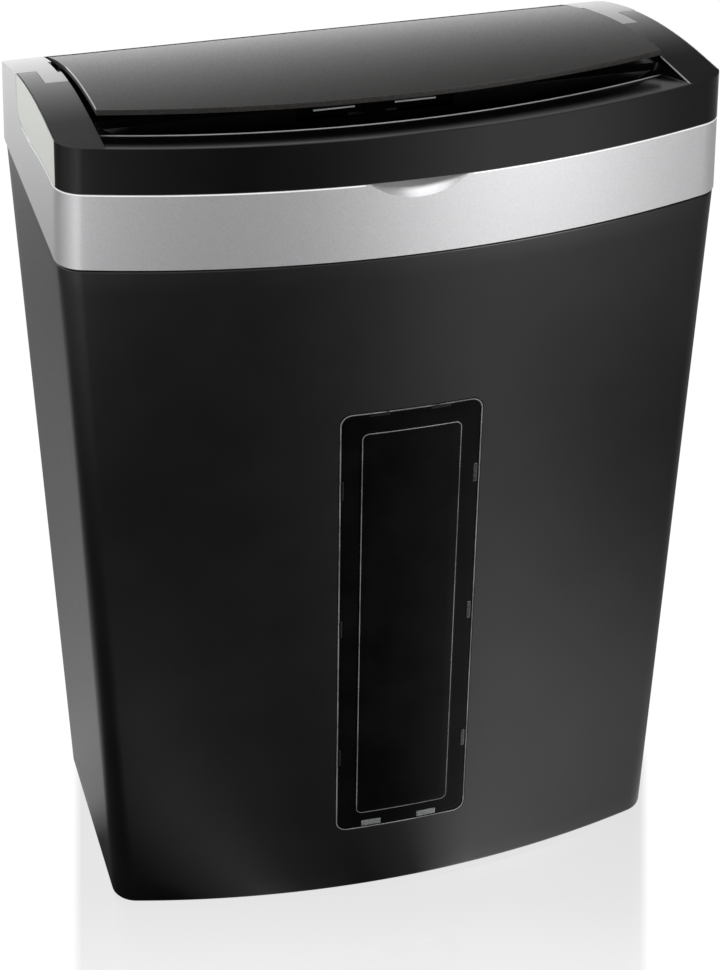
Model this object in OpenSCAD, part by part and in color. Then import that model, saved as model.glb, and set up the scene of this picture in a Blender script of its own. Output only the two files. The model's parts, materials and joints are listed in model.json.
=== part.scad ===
// Console paper shredder: a tapered waste bin with a lift-off shredding head.
// Front is -Y, +Z is up. The origin is the centre of the footprint, on the floor.

/* [Bin] */
// Width across the bin's foot
bin_foot_w = 358; // [350:1:364]
// Width across the bin's rim
bin_rim_w = 378; // [374:1:379]
// Height of the bin's rim above the floor
bin_rim_z = 454; // [440:1:454]
// Wall thickness of the bin
bin_wall = 2.8; // [2.2:0.1:3]

/* [Window] */
// Width of the window flange
window_w = 84; // [76:1:90]
// Height of the window flange
window_h = 307; // [280:1:312]
// Width of the raised pane
pane_w = 59; // [52:1:62]
// Height of the raised pane
pane_h = 281; // [260:1:284]

/* [Head] */
// Width across the lower edge of the silver band
band_w = 380; // [380:1:382]
// Depth of the whole machine
depth = 230; // [230:1:231]
// Height of the band's upper edge at the front
band_top_z = 499; // [497:0.5:500]
// Sagitta of the bowed front
front_bow = 34; // [32:0.5:36]
// Wall thickness of the head's shells
shell = 2.4; // [2:0.1:2.6]

/* [Lid] */
// Width of the hinged lid
lid_w = 320; // [316:0.5:321]
// Thickness of the lid's skin
lid_t = 3; // [2.5:0.1:3.2]

/* [Cutters] */
// Outer radius of a cutting disc
disc_r = 18; // [17.6:0.1:18]
// Thickness of a cutting disc
disc_t = 3.2; // [2.8:0.1:3.2]
// Number of cutting discs on each shaft
disc_count = 28; // [24:1:28]
// Pitch of the discs along a shaft
disc_pitch = 8; // [8:0.1:8.1]

/* [Feed] */
// Width of the feed slot, for a 210 mm sheet
slot_w = 230; // [224:1:230]
// Clear gap of the feed slot
slot_gap = 7; // [6:0.5:7]

/* [Hidden] */

$fn = 64;
slab = 0.02;

// Footprint: the head reaches from -back_y to back_y.
back_y = depth / 2;
pad_h = 1;
corner_r = 19;

// Head form between its lower edge and a plane above the highest point.
head_z0 = 455;
head_z1 = 532;
head_w0 = band_w / 2;
head_w1 = head_w0 - 3.6;
head_f0 = -back_y + 2.5;
head_f1 = -back_y - 0.25;

// Bin form: half widths, front middle, bow and back at the foot and the rim.
bin_w0 = bin_foot_w / 2;
bin_w1 = bin_rim_w / 2;
bin_f0 = -88.6;
bin_f1 = -111.4;
bin_b0 = 99;
bin_b1 = 113.4;
bin_s0 = 27;
bin_s1 = 33;

// Crown of the deck and of the lid: circles in the YZ plane.
deck_r = 560;
deck_y = -49;
deck_z = -35;
lid_r = 550;
lid_y = -69;
lid_z = -18.5;
well_x = 162.5;
lid_hw = lid_w / 2;
lid_front = -74;
lid_bow = 23;
lid_back = 110.5;
pivot_y = 78;
pivot_z = 503;
pin_r = 2;

// Throat: lip line, slot plane and the recess behind the fascia.
lip_z = 517.5;
lip_front = -78.2;
lip_bow = 25;
slot_y = -52;
slot_z = 497;
throat_back = -45;
tray_front = -114.2;
tray_bow = 25.5;
floor_drop = 9;

// Silver ears at the rear corners and the tabs beside the lid.
ear_y = 54;
tab_y = 21.5;
tab_x = 175.5;
gap = 0.3;

// Indicators and switch in the throat's rear wall.
panel_x = -5;
panel_z = 515;
bar_l = 23.5;
bar_x = 23.2;

// Cutting unit.
axis_z = 448;
front_axis_y = slot_y - 16;
rear_axis_y = slot_y + 16;
journal_r = 6;
core_r = 8;
spacer_r = 12;
run = 0.05;
plate_x = 118;
plate_t = 3;
tub_z = 418;
tub_t = 2.5;

// Gear train: module and teeth of each pair, and the direction of its mate.
drive_m = 2;
drive_n = 16;
out_m = 1.25;
out_n = 40;
out_pinion_n = 12;
mid_m = 1;
mid_n = 40;
mid_pinion_n = 14;
fast_m = 0.8;
fast_n = 44;
motor_n = 10;
pressure = 25;
second_dir = 40;
first_dir = -10;
motor_dir = -20;
second_d = out_m * (out_n + out_pinion_n) / 2;
first_d = mid_m * (mid_n + mid_pinion_n) / 2;
motor_d = fast_m * (fast_n + motor_n) / 2;
second_y = rear_axis_y + second_d * cos(second_dir);
second_z = axis_z + second_d * sin(second_dir);
first_y = second_y + first_d * cos(first_dir);
first_z = second_z + first_d * sin(first_dir);
motor_y = first_y + motor_d * cos(motor_dir);
motor_z = first_z + motor_d * sin(motor_dir);
stud_r = 3;
motor_r = 28;
motor_x0 = 8;
motor_x1 = 117.85;
plate_end = 3;
rotor_r = 2.5;

// ---- outlines ------------------------------------------------------------

function arc_points(x, y, r, a0, a1, n) =
    [for (i = [0:n]) [x + r * cos(a0 + (a1 - a0) * i / n),
                      y + r * sin(a0 + (a1 - a0) * i / n)]];

// Plan outline with a bowed front: w half width, f front middle, s sagitta,
// r front corner radius, b back, rb back corner radius.
function bowed(w, f, s, r, b, rb, n = 24) =
    let (big = (w * w + s * s) / (2 * s),
         cy = f + big,
         dy = sqrt((big - r) * (big - r) - (w - r) * (w - r)),
         turn = atan2(dy, w - r))
    concat(arc_points(-w + rb, b - rb, rb, 90, 180, 4),
           arc_points(-w + r, cy - dy, r, 180, 180 + turn, 8),
           arc_points(0, cy, big, 180 + turn, 360 - turn, n),
           arc_points(w - r, cy - dy, r, 360 - turn, 360, 8),
           arc_points(w - rb, b - rb, rb, 0, 90, 4));

module slab_at(z, points) {
    translate([0, 0, z])
        linear_extrude(slab)
            polygon(points);
}

// Solid of the bin's taper, moved inwards by t and lowered or raised at its ends.
module bin_form(t, z0 = pad_h, z1 = bin_rim_z) {
    span = bin_rim_z - pad_h;
    k0 = (z0 - pad_h) / span;
    k1 = (z1 - pad_h) / span;
    hull() {
        slab_at(z0, bin_section(k0, t));
        slab_at(z1 - slab, bin_section(k1, t));
    }
}

function mix(a, b, k) = a + (b - a) * k;

function bin_section(k, t) =
    bowed(mix(bin_w0, bin_w1, k) - t, mix(bin_f0, bin_f1, k) + t,
          mix(bin_s0, bin_s1, k), max(corner_r - 2 - t, 4),
          mix(bin_b0, bin_b1, k) - t, max(9 - t, 4));

// Solid of the head's drafted sides, moved inwards by t.
module head_form(t, z0 = head_z0, z1 = head_z1) {
    hull() {
        slab_at(z0, head_section(z0, t));
        slab_at(z1 - slab, head_section(z1, t));
    }
}

function head_section(z, t) =
    let (k = (z - head_z0) / (head_z1 - head_z0))
    bowed(mix(head_w0, head_w1, k) - t, mix(head_f0, head_f1, k) + t,
          front_bow, corner_r - t, back_y - t, max(8 - t, 4));

// Everything under a crown, as a cylinder along X.
module crown(y, z, r) {
    translate([-200, y, z])
        rotate([0, 90, 0])
            cylinder(r = r, h = 400, $fn = 96);
}

// Everything under the deck's top: level at the front, then falling to the rear.
module under_deck(t) {
    crown(deck_y, deck_z, deck_r - t);
    box(-200, 200, -140, deck_y, 300, deck_z + deck_r - t);
}

// A profile in the YZ plane, extruded from x0 to x1.
module along_x(x0, x1) {
    translate([x0, 0, 0])
        rotate([90, 0, 90])
            linear_extrude(x1 - x0)
                children();
}

module box(x0, x1, y0, y1, z0, z1) {
    translate([x0, y0, z0])
        cube([x1 - x0, y1 - y0, z1 - z0]);
}

module rod_x(y, z, r, x0, x1) {
    translate([x0, y, z])
        rotate([0, 90, 0])
            cylinder(r = r, h = x1 - x0);
}

module both_sides() {
    children();
    mirror([1, 0, 0])
        children();
}

// ---- bin -----------------------------------------------------------------

window_z = 203.5;
clip_l = 13;
clip_side_z = [-98, 0, 98];
clip_end_x = 18;
ledge_z = bin_rim_z - 3;
ledge_w = 6;

// A rounded rectangle facing the front, centred on the window.
module window_block(w, h, r, y0, y1) {
    translate([0, y1, window_z])
        rotate([90, 0, 0])
            linear_extrude(y1 - y0)
                union() {
                    square([w - 2 * r, h], center = true);
                    square([w, h - 2 * r], center = true);
                    for (sx = [-1, 1], sz = [-1, 1])
                        translate([sx * (w / 2 - r), sz * (h / 2 - r)])
                            circle(r);
                }
}

// The ten places where the window's hooks pass the bin wall.
module at_clips() {
    for (sx = [-1, 1], z = clip_side_z)
        translate([sx * (window_w / 2 - 3), 0, window_z + z])
            rotate([0, 90, 0])
                children();
    for (sx = [-1, 1], sz = [-1, 1])
        translate([sx * clip_end_x, 0, window_z + sz * (window_h / 2 - 3)])
            children();
}

module bin() {
    color([0.07, 0.07, 0.07])
        difference() {
            bin_form(0);
            bin_form(bin_wall, pad_h + 3, ledge_z);
            difference() {
                bin_form(ledge_w, ledge_z - 5, bin_rim_z + 1);
                box(plunger_x - 6, plunger_x + 5, plunger_y - 7, plunger_y + 7,
                    ledge_z, bin_rim_z);
            }
            difference() {
                window_block(window_w + 1, window_h + 1, 7, -120, -60);
                bin_form(1.4, 0, bin_rim_z);
            }
            window_block(window_w - 18, window_h - 18, 4, -120, -60);
            at_clips()
                translate([-clip_l / 2 - 0.5, -120, -1.8])
                    cube([clip_l + 1, 60, 3.6]);
            foot_places()
                translate([0, 0, -1])
                    cylinder(r = 9.1, h = pad_h + 2);
        }
}

module bin_window() {
    color([0.05, 0.05, 0.06, 0.6]) {
        intersection() {
            window_block(window_w, window_h, 7, -120, -60);
            difference() {
                bin_form(0.3, 0, bin_rim_z);
                bin_form(1.35, 0, bin_rim_z);
            }
        }
        intersection() {
            window_block(pane_w, pane_h, 4, -120, -60);
            difference() {
                bin_form(-1, 0, bin_rim_z);
                bin_form(1.35, 0, bin_rim_z);
            }
        }
        intersection() {
            at_clips()
                translate([-clip_l / 2, -120, -1.4])
                    cube([clip_l, 60, 2.8]);
            difference() {
                bin_form(0.6, 0, bin_rim_z);
                bin_form(5.5, 0, bin_rim_z);
            }
        }
    }
}

module foot_places() {
    for (sx = [-1, 1]) {
        translate([sx * 150, 75, 0])
            children();
        translate([sx * 140, -52, 0])
            children();
    }
}

module foot_pads() {
    color([0.03, 0.03, 0.03])
        foot_places()
            cylinder(r = 9, h = pad_h + 0.95);
}

// ---- head shells ---------------------------------------------------------

flange_z = bin_rim_z + 0.3;
flange_top = 458;
tub_w = 168;
tub_front = -104.2;
tub_bow = 27;
tub_back = 100;
boss_x = 177;
boss_ys = [-45, 20, 92];

function tub_plan(t) =
    bowed(tub_w - t, tub_front + t, tub_bow, 15 - t, tub_back - t, 10 - t);

module head_chassis() {
    color([0.1, 0.1, 0.1])
        difference() {
            union() {
                translate([0, 0, flange_z])
                    linear_extrude(flange_top - flange_z)
                        polygon(bowed(186.8, -109.2, front_bow, corner_r - 2,
                                      112.2, 5));
                translate([0, 0, tub_z])
                    linear_extrude(flange_top - tub_z)
                        polygon(tub_plan(0));
            }
            translate([0, 0, tub_z + tub_t])
                linear_extrude(60)
                    polygon(tub_plan(tub_t));
            box(-115.5, 115.5, -84, -20, tub_z - 1, tub_z + tub_t + 1);
            at_bosses()
                translate([0, 0, flange_z - 1])
                    cylinder(r = 2.2, h = 10);
            translate([plunger_x, plunger_y, flange_z - 1])
                cylinder(r = plunger_r + run, h = 10);
            at_mechanism_screws()
                translate([0, 0, tub_z - 1])
                    cylinder(r = 2.2, h = 6);
        }
}

module at_bosses() {
    for (sx = [-1, 1], y = boss_ys)
        translate([sx * boss_x, y, 0])
            children();
}

scoop_w = 27;
scoop_d = 9.5;
scoop_r = 60;
rear_gap_x = 150;
notch_y0 = 46;
notch_y1 = 82;
rear_band_z = 490.4;
vent_count = 12;
vent_pitch = 12;

// Side view of the band: level over the front, falling along the sides, then
// turning up into the ear.
module band_profile(lift = 0) {
    polygon([[-130, 440], [130, 440], [130, 540], [ear_y + lift, 540],
             [ear_y + lift, rear_band_z + lift], [12, 491.8 + lift],
             [-30, 497.2 + lift], [-64, band_top_z + lift],
             [-130, band_top_z + lift]]);
}

// Plan of the ears and of the tabs beside the lid, grown by t.
module ear_plan(t) {
    for (sx = [0, 1])
        mirror([sx, 0])
            translate([well_x - t, 0]) {
                translate([0, ear_y - t])
                    square([40, 80]);
                translate([0, tab_y - t])
                    square([tab_x - well_x + 2 * t, 60]);
            }
}

// The band's ring with its raised rear corners.
module band_ring() {
    difference() {
        head_form(0);
        head_form(shell, head_z0 - 3, head_z1 + 1);
        difference() {
            box(-210, 210, -150, 150, head_z0 - 5, head_z1 + 5);
            along_x(-210, 210)
                band_profile();
        }
        box(-rear_gap_x, rear_gap_x, 80, 130, rear_band_z, 540);
    }
}

// Top skin of the ears and tabs, and the upright wall beside the lid.
module ear_skin() {
    difference() {
        intersection() {
            head_form(0.4);
            translate([0, 0, 480])
                linear_extrude(60)
                    ear_plan(0);
        }
        under_deck(shell);
    }
    both_sides()
        box(well_x, well_x + 2, tab_y, back_y - 1, rear_band_z + 0.6, 540);
}

// A ball whose lowest part hollows the finger scoop out of the band's front.
module scoop_ball() {
    arc_r = (scoop_w * scoop_w + scoop_d * scoop_d) / (2 * scoop_d);
    reach = sqrt(scoop_r * scoop_r - arc_r * arc_r);
    translate([0, head_f0 - 0.5 - reach, band_top_z - scoop_d + arc_r])
        sphere(scoop_r);
}

module band() {
    color([0.72, 0.72, 0.73])
        difference() {
            intersection() {
                union() {
                    band_ring();
                    ear_skin();
                    intersection() {
                        head_form(0.4);
                        box(-scoop_w - 3, scoop_w + 3, -130, -101, 486, band_top_z);
                    }
                }
                under_deck(0);
            }
            scoop_ball();
            vents();
            both_sides()
                box(well_x - 1, well_x + 2.1, notch_y0, notch_y1, pivot_z + pin_r + 0.5, 540);
            rod_x(pivot_y, pivot_z, pin_r + run, -170, 170);
            translate([gland_x, 0, gland_z])
                rotate([-90, 0, 0])
                    cylinder(r = gland_r + run, h = 200);
        }
}

module vents() {
    for (i = [0:vent_count - 1])
        box((i - vent_count / 2) * vent_pitch, (i - vent_count / 2) * vent_pitch + 5,
            100, 130, 460, 471);
}

inlay_front = -70.7;

inlay_lip = 0.5;

module side_inlay() {
    intersection() {
        difference() {
            head_form(0.1);
            head_form(0.1 + inlay_lip, head_z0 - 3, head_z1 + 1);
        }
        inlay_place();
        under_deck(gap);
    }
    intersection() {
        difference() {
            head_form(0.1);
            head_form(shell, head_z0 - 3, head_z1 + 1);
        }
        inlay_place();
        under_deck(1.6);
    }
}

module inlay_place() {
    difference() {
        box(150, 200, inlay_front, ear_y - gap, 480, 540);
        along_x(-210, 210)
            band_profile(gap);
    }
}

module left_side_inlay() {
    color([0.8, 0.81, 0.8])
        mirror([1, 0, 0])
            side_inlay();
}

module right_side_inlay() {
    color([0.8, 0.81, 0.8])
        side_inlay();
}

// The recess behind the fascia: its front wall slopes down to the lip line.
module tray_cut() {
    hull() {
        slab_at(lip_z, bowed(well_x - 2.5, lip_front, lip_bow, 5, throat_back, 2));
        slab_at(deck_z + deck_r + 0.3, bowed(well_x, tray_front, tray_bow, 5,
                                             throat_back, 2));
    }
}

// The funnel from the lip line to the slot, grown by t.
module throat(t) {
    half_gap = slot_gap / 2 + t;
    half_w = slot_w / 2 + t;
    hull() {
        slab_at(lip_z + 1, bowed(well_x - 2.5 + t, lip_front - t, lip_bow, 5,
                                 throat_back + t, 2));
        slab_at(slot_z - t, [[-half_w, slot_y - half_gap], [half_w, slot_y - half_gap],
                             [half_w, slot_y + half_gap], [-half_w, slot_y + half_gap]]);
    }
}

// Well behind the hinge line, into which the lid's rear edge dips.
well_y0 = 66;
well_y1 = 111;
well_y2 = 112.3;
well_z = 474;
web_t = 4;

module housing_shell() {
    difference() {
        intersection() {
            head_form(0);
            under_deck(0);
        }
        intersection() {
            head_form(shell + 0.3, head_z0 - 1, head_z1 + 1);
            union() {
                under_deck(shell);
                box(-well_x, well_x, -100, 120, 400, 560);
            }
        }
    }
}

plate_z = lip_z - shell - 4;

module throat_block() {
    intersection() {
        head_form(1);
        under_deck(0);
        box(-well_x - 1, well_x + 1, -116, throat_back + shell, plate_z, 530);
    }
}

// The guide under the throat that leads a sheet into the slot.
module feed_funnel() {
    color([0.04, 0.04, 0.04])
        difference() {
            throat(shell);
            throat(0);
            box(-slot_w / 2, slot_w / 2, slot_y - slot_gap / 2, slot_y + slot_gap / 2,
                480, slot_z + 2);
            box(-200, 200, -140, 0, plate_z - 0.1, 530);
            box(panel_x - 45, panel_x + 45, -50, throat_back + 1.6, 509.8, 519);
        }
}

module deck_floor() {
    intersection() {
        difference() {
            crown(lid_y, lid_z, lid_r - floor_drop);
            crown(lid_y, lid_z, lid_r - floor_drop - shell);
        }
        box(-well_x - 1, well_x + 1, throat_back + 0.5, well_y0 + 0.1, 480, 540);
    }
}

module well() {
    box(-well_x - 2, well_x + 2, well_y0, well_y0 + shell, well_z, 505.5);
    box(-well_x - 2, well_x + 2, well_y0, well_y2, well_z, well_z + shell);
    box(-rear_gap_x + gap, rear_gap_x - gap, well_y1 - 1, well_y2, well_z,
        rear_band_z + gap + 1);
    box(-rear_gap_x + gap, rear_gap_x - gap, well_y1 - 1, well_y2 + 1,
        rear_band_z + gap, rear_band_z + 8);
    both_sides() {
        box(well_x, well_x + 2, well_y0, well_y2, well_z, rear_band_z);
        box(well_x + 1, boss_x - 3, boss_ys[2] - web_t / 2, boss_ys[2] + web_t / 2,
            well_z, rear_band_z);
    }
}

module cheek_walls() {
    intersection() {
        head_form(1);
        under_deck(0);
        both_sides()
            box(well_x, well_x + 2, -92, well_y0, 494, 540);
    }
}

module bosses() {
    intersection() {
        under_deck(1);
        at_bosses()
            translate([0, 0, flange_top + 0.05])
                cylinder(r = 4.6, h = 70);
    }
}

// The side inlay's stretch of the skin, outside a constant section.
module outside_section(z, t) {
    difference() {
        box(150, 200, inlay_front - gap, ear_y + 1, 480, 540);
        translate([0, 0, 470])
            linear_extrude(80)
                polygon(head_section(z, t));
    }
}

// Room for the silver parts, which lie in the same outer form.
module silver_room() {
    difference() {
        along_x(-210, 210)
            band_profile(gap);
        translate([0, 0, 400])
            linear_extrude(200)
                polygon(bowed(184, -108, front_bow, corner_r - 4, 112.2, 5));
        box(-rear_gap_x + gap, rear_gap_x - gap, 100, 130, rear_band_z + gap, 560);
    }
    translate([0, 0, rear_band_z])
        linear_extrude(60)
            ear_plan(gap);
    both_sides() {
        outside_section(520, 1);
        intersection() {
            outside_section(head_z1, shell + gap);
            under_deck(1.3);
        }
    }
}

module top_housing() {
    color([0.03, 0.03, 0.03])
        difference() {
            union() {
                housing_shell();
                cheek_walls();
                throat_block();
                deck_floor();
                well();
                bosses();
            }
            tray_cut();
            throat(0);
            silver_room();
            difference() {
                box(-well_x, well_x, throat_back - 1, well_y0 + 5, 500, 560);
                crown(lid_y, lid_z, lid_r - floor_drop);
            }
            box(-well_x, well_x, well_y0 + shell, well_y1, well_z + shell, 560);
            box(panel_x - 45, panel_x + 45, -50, throat_back + 1.6, 509, 519);
            box(panel_x - 9, panel_x + 9, -50, throat_back + 4, 512, 517.5);
            at_bosses()
                translate([0, 0, flange_top - 1])
                    cylinder(r = 1.7, h = 22);
        }
}

module lid() {
    color([0.16, 0.155, 0.15])
        difference() {
            union() {
                intersection() {
                    difference() {
                        crown(lid_y, lid_z, lid_r);
                        crown(lid_y, lid_z, lid_r - lid_t);
                    }
                    translate([0, 0, 480])
                        linear_extrude(70)
                            polygon(bowed(lid_hw, lid_front, lid_bow, 2.5, lid_back, 4));
                }
                // stiffening ribs under the side edges
                intersection() {
                    difference() {
                        crown(lid_y, lid_z, lid_r - lid_t + 0.5);
                        crown(lid_y, lid_z, lid_r - lid_t - 3);
                    }
                    both_sides()
                        box(lid_hw - 5, lid_hw - 2.5, -40, 64, 480, 540);
                }
                both_sides()
                    intersection() {
                        crown(lid_y, lid_z, lid_r - lid_t + 0.5);
                        union() {
                            rod_x(pivot_y, pivot_z, 5, 151, 159);
                            box(151, 159, pivot_y - 5, pivot_y + 5, pivot_z, 520);
                        }
                    }
            }
            rod_x(pivot_y, pivot_z, pin_r + run, -170, 170);
        }
}

module lid_hinge_pins() {
    color([0.75, 0.75, 0.77])
        both_sides()
            rod_x(pivot_y, pivot_z, pin_r, 150.5, 164.3);
}

module indicator_bars() {
    color([0.85, 0.86, 0.88])
        for (sx = [-1, 1])
            box(panel_x + sx * bar_x - bar_l / 2, panel_x + sx * bar_x + bar_l / 2,
                throat_back - 0.6, throat_back + 1.5, panel_z, panel_z + 0.9);
}

module mode_slider() {
    color([0.12, 0.12, 0.12])
        union() {
            box(panel_x - 6, panel_x + 6, throat_back - 1.2, throat_back + 1.3, 510.5, 518.5);
            box(panel_x - 3, panel_x + 3, throat_back + 1, throat_back + 8, 512.5, 517);
        }
}

module mode_switch_body() {
    color([0.2, 0.2, 0.22])
        difference() {
            box(panel_x - 14, panel_x + 14, throat_back + 4.3, throat_back + 16, 506, 518);
            box(panel_x - 9, panel_x + 9, throat_back + 3, throat_back + 9, 512, 517.5);
        }
}

module case_screws() {
    color([0.3, 0.3, 0.32])
        at_bosses() {
            translate([0, 0, flange_z - 1.6])
                cylinder(r = 3.4, h = 1.6);
            translate([0, 0, flange_z - 0.1])
                cylinder(r = 1.6, h = 24);
        }
}

// ---- feed ----------------------------------------------------------------

chute_z0 = 468;
chute_z1 = 494;
flag_y = -40;
flag_z = 488;
flag_r = 1.5;

feed_wall = 3.5;

module front_feed_plate() {
    color([0.06, 0.06, 0.06])
        union() {
            box(-plate_x + 0.5, plate_x - 0.5, slot_y - slot_gap / 2 - feed_wall,
                slot_y - slot_gap / 2, chute_z0, chute_z1);
            both_sides()
                box(slot_w / 2, plate_x - 0.5, slot_y - slot_gap / 2 - 1,
                    slot_y + slot_gap / 2 - 0.1, chute_z0, chute_z1);
        }
}

module rear_feed_plates() {
    color([0.06, 0.06, 0.06])
        both_sides()
            difference() {
                union() {
                    box(4, plate_x - 0.5, slot_y + slot_gap / 2,
                        slot_y + slot_gap / 2 + feed_wall, chute_z0, chute_z1);
                    box(5, 8, slot_y + 6, flag_y + 4, flag_z - 4, flag_z + 4);
                }
                rod_x(flag_y, flag_z, flag_r + run, -20, 20);
            }
}

// The lever that a sheet pushes aside to start the motor.
module paper_flag() {
    color([0.1, 0.1, 0.12])
        along_x(-2, 2)
            difference() {
                union() {
                    translate([flag_y, flag_z])
                        circle(3.4);
                    polygon([[flag_y - 2, flag_z + 2.8], [flag_y - 13.6, flag_z - 7],
                             [flag_y - 13, flag_z - 9], [flag_y + 1, flag_z - 3.2]]);
                    // counterweight that holds the lever up
                    translate([flag_y, flag_z - 3.4])
                        square([14.5, 6.8]);
                }
                translate([flag_y, flag_z])
                    circle(flag_r + run);
            }
}

module flag_pin() {
    color([0.75, 0.75, 0.77])
        rod_x(flag_y, flag_z, flag_r, -9, 9);
}

// ---- cutting unit --------------------------------------------------------

tie_places = [[-12, 438], [-30, 478], [-78, 476]];
foot_z = tub_z + tub_t + 0.05;
screw_x = plate_x + plate_t + 7;
screw_ys = [-70, -28];

module side_plate_holes() {
    for (y = [front_axis_y, rear_axis_y])
        translate([y, axis_z])
            circle(9 + run);
    for (p = tie_places)
        translate(p)
            circle(3 + run);
}

module left_side_plate() {
    color([0.6, 0.6, 0.62])
        union() {
            along_x(-plate_x - plate_t, -plate_x)
                difference() {
                    polygon([[-86, foot_z], [-4, foot_z], [-4, 470], [-20, 486], [-82, 486],
                             [-86, 482]]);
                    side_plate_holes();
                }
            foot_tab(-1);
        }
}

module right_side_plate() {
    color([0.6, 0.6, 0.62])
        union() {
            along_x(plate_x, plate_x + plate_t)
                difference() {
                    polygon([[-86, foot_z], [62, foot_z], [62, 480], [56, 492],
                             [-40, 492], [-82, 486], [-86, 482]]);
                    side_plate_holes();
                    for (p = [[second_y, second_z], [first_y, first_z]])
                        translate(p)
                            circle(stud_r + run);
                    translate([motor_y, motor_z])
                        circle(8);
                    for (s = [-1, 1])
                        translate([motor_y, motor_z + s * 18])
                            circle(1.7);
                }
            foot_tab(1);
        }
}

// Folded foot of a side plate, fixed to the tub floor with two screws.
module foot_tab(side) {
    x0 = plate_x + plate_t - 0.5;
    difference() {
        box(min(side * x0, side * (x0 + 14)), max(side * x0, side * (x0 + 14)),
            -78, -20, foot_z, foot_z + 2.5);
        for (y = screw_ys)
            translate([side * screw_x, y, foot_z - 1])
                cylinder(r = 1.7, h = 6);
    }
}

module at_mechanism_screws() {
    for (sx = [-1, 1], y = screw_ys)
        translate([sx * screw_x, y, 0])
            children();
}

module mechanism_screws() {
    color([0.3, 0.3, 0.32])
        at_mechanism_screws() {
            translate([0, 0, tub_z - 1.8])
                cylinder(r = 3.6, h = 1.8);
            translate([0, 0, tub_z - 0.1])
                cylinder(r = 1.6, h = 6);
        }
}

module tie_rods() {
    color([0.7, 0.7, 0.72])
        for (p = tie_places)
            rod_x(p[0], p[1], 3, -plate_x - plate_t - 1, plate_x + plate_t + 1);
}

module cutter_bushes() {
    color([0.65, 0.5, 0.25])
        both_sides()
            for (y = [front_axis_y, rear_axis_y])
                difference() {
                    rod_x(y, axis_z, 9, plate_x - 0.7, plate_x + plate_t + 0.7);
                    rod_x(y, axis_z, journal_r + run, plate_x - 2, plate_x + plate_t + 2);
                }
}

module cutter_shaft(y, end) {
    rod_x(y, axis_z, core_r, -plate_x + 1, plate_x - 1);
    rod_x(y, axis_z, journal_r, -plate_x - plate_t - 3, end);
}

// One disc with hooked teeth that cut the strip to length.
module disc_profile(phase) {
    difference() {
        circle(disc_r);
        circle(core_r + run);
        for (k = [0:4])
            rotate(phase + k * 72)
                polygon([[disc_r - 2.4, 0], [disc_r + 1, 0], [disc_r + 1, 5], [disc_r - 0.3, 4.4]]);
    }
}

function disc_x(i, shift) = (i - (disc_count - 1) / 2) * disc_pitch + shift;

module discs(y, shift, hand) {
    for (i = [0:disc_count - 1])
        translate([0, y, axis_z])
            along_x(disc_x(i, shift) - disc_t / 2, disc_x(i, shift) + disc_t / 2)
                scale([hand, 1])
                    disc_profile(i * 9);
}

module spacers(y, shift) {
    for (i = [0:disc_count - 2])
        difference() {
            rod_x(y, axis_z, spacer_r, disc_x(i, shift) + disc_t / 2 + run,
                  disc_x(i + 1, shift) - disc_t / 2 - run);
            rod_x(y, axis_z, core_r + run, disc_x(i, shift), disc_x(i + 1, shift));
        }
}

half_pitch = disc_pitch / 4;
finger_t = disc_pitch - disc_t - 1.4;

module front_cutter_shaft() {
    color([0.5, 0.5, 0.52])
        cutter_shaft(front_axis_y, drive_x1 + 0.6);
}

module rear_cutter_shaft() {
    color([0.5, 0.5, 0.52])
        cutter_shaft(rear_axis_y, out_x1 + 1);
}

module front_cutter_discs() {
    color([0.55, 0.55, 0.57])
        discs(front_axis_y, -half_pitch, 1);
}

module rear_cutter_discs() {
    color([0.55, 0.55, 0.57])
        discs(rear_axis_y, half_pitch, -1);
}

module front_spacers() {
    color([0.45, 0.45, 0.47])
        spacers(front_axis_y, -half_pitch);
}

module rear_spacers() {
    color([0.45, 0.45, 0.47])
        spacers(rear_axis_y, half_pitch);
}

// Fingers between the discs clear the strips; a bar outside the discs joins them.
module comb(y, other_y, side, shift) {
    inner = y + side * (disc_r + 0.6);
    outer = y + side * (disc_r + 2.2);
    for (i = [0:disc_count - 2])
        along_x(disc_x(i, shift) + disc_pitch / 2 - finger_t / 2,
                disc_x(i, shift) + disc_pitch / 2 + finger_t / 2)
            difference() {
                translate([y, axis_z])
                    circle(disc_r + 2);
                translate([y, axis_z])
                    circle(spacer_r + 0.7);
                translate([other_y, axis_z])
                    circle(disc_r + 0.7);
                translate([y - 30, axis_z + 9])
                    square([60, 30]);
                translate([side > 0 ? y - 60 : y, axis_z])
                    square([60, 30]);
            }
    box(-plate_x + 0.4, plate_x - 0.4, min(inner, outer), max(inner, outer),
        axis_z - 7, axis_z + 7);
}

module front_stripper_comb() {
    color([0.12, 0.12, 0.13])
        comb(front_axis_y, rear_axis_y, -1, -half_pitch);
}

module rear_stripper_comb() {
    color([0.12, 0.12, 0.13])
        comb(rear_axis_y, front_axis_y, 1, half_pitch);
}

// ---- gear train ----------------------------------------------------------

function to_rad(a) = a * PI / 180;
function involute_angle(base, r) =
    let (t = sqrt(max(r * r / (base * base) - 1, 0)))
    t * 180 / PI - atan(t);
function polar(r, a) = [r * cos(a), r * sin(a)];

// Involute outline of n teeth of module m, with a tooth's middle at angle phase.
function gear_points(m, n, phase) =
    let (pitch_r = m * n / 2,
         base = pitch_r * cos(pressure),
         root = pitch_r - 1.05 * m,
         tip = pitch_r + 0.8 * m,
         start = max(base, root),
         play = (0.05 + 0.02 * m) / to_rad(pitch_r),
         half = 90 / n - play + involute_angle(base, pitch_r),
         flank = [for (i = [0:2])
             let (r = start + (tip - start) * i / 2)
             [r, half - involute_angle(base, r)]],
         side = root < base ? concat([[root, half]], flank) : flank,
         last = len(side) - 1)
    [for (k = [0:n - 1])
        let (a = phase + k * 360 / n)
        each concat([for (i = [0:last]) polar(side[i][0], a - side[i][1])],
                    [for (i = [last:-1:0]) polar(side[i][0], a + side[i][1])])];

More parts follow.
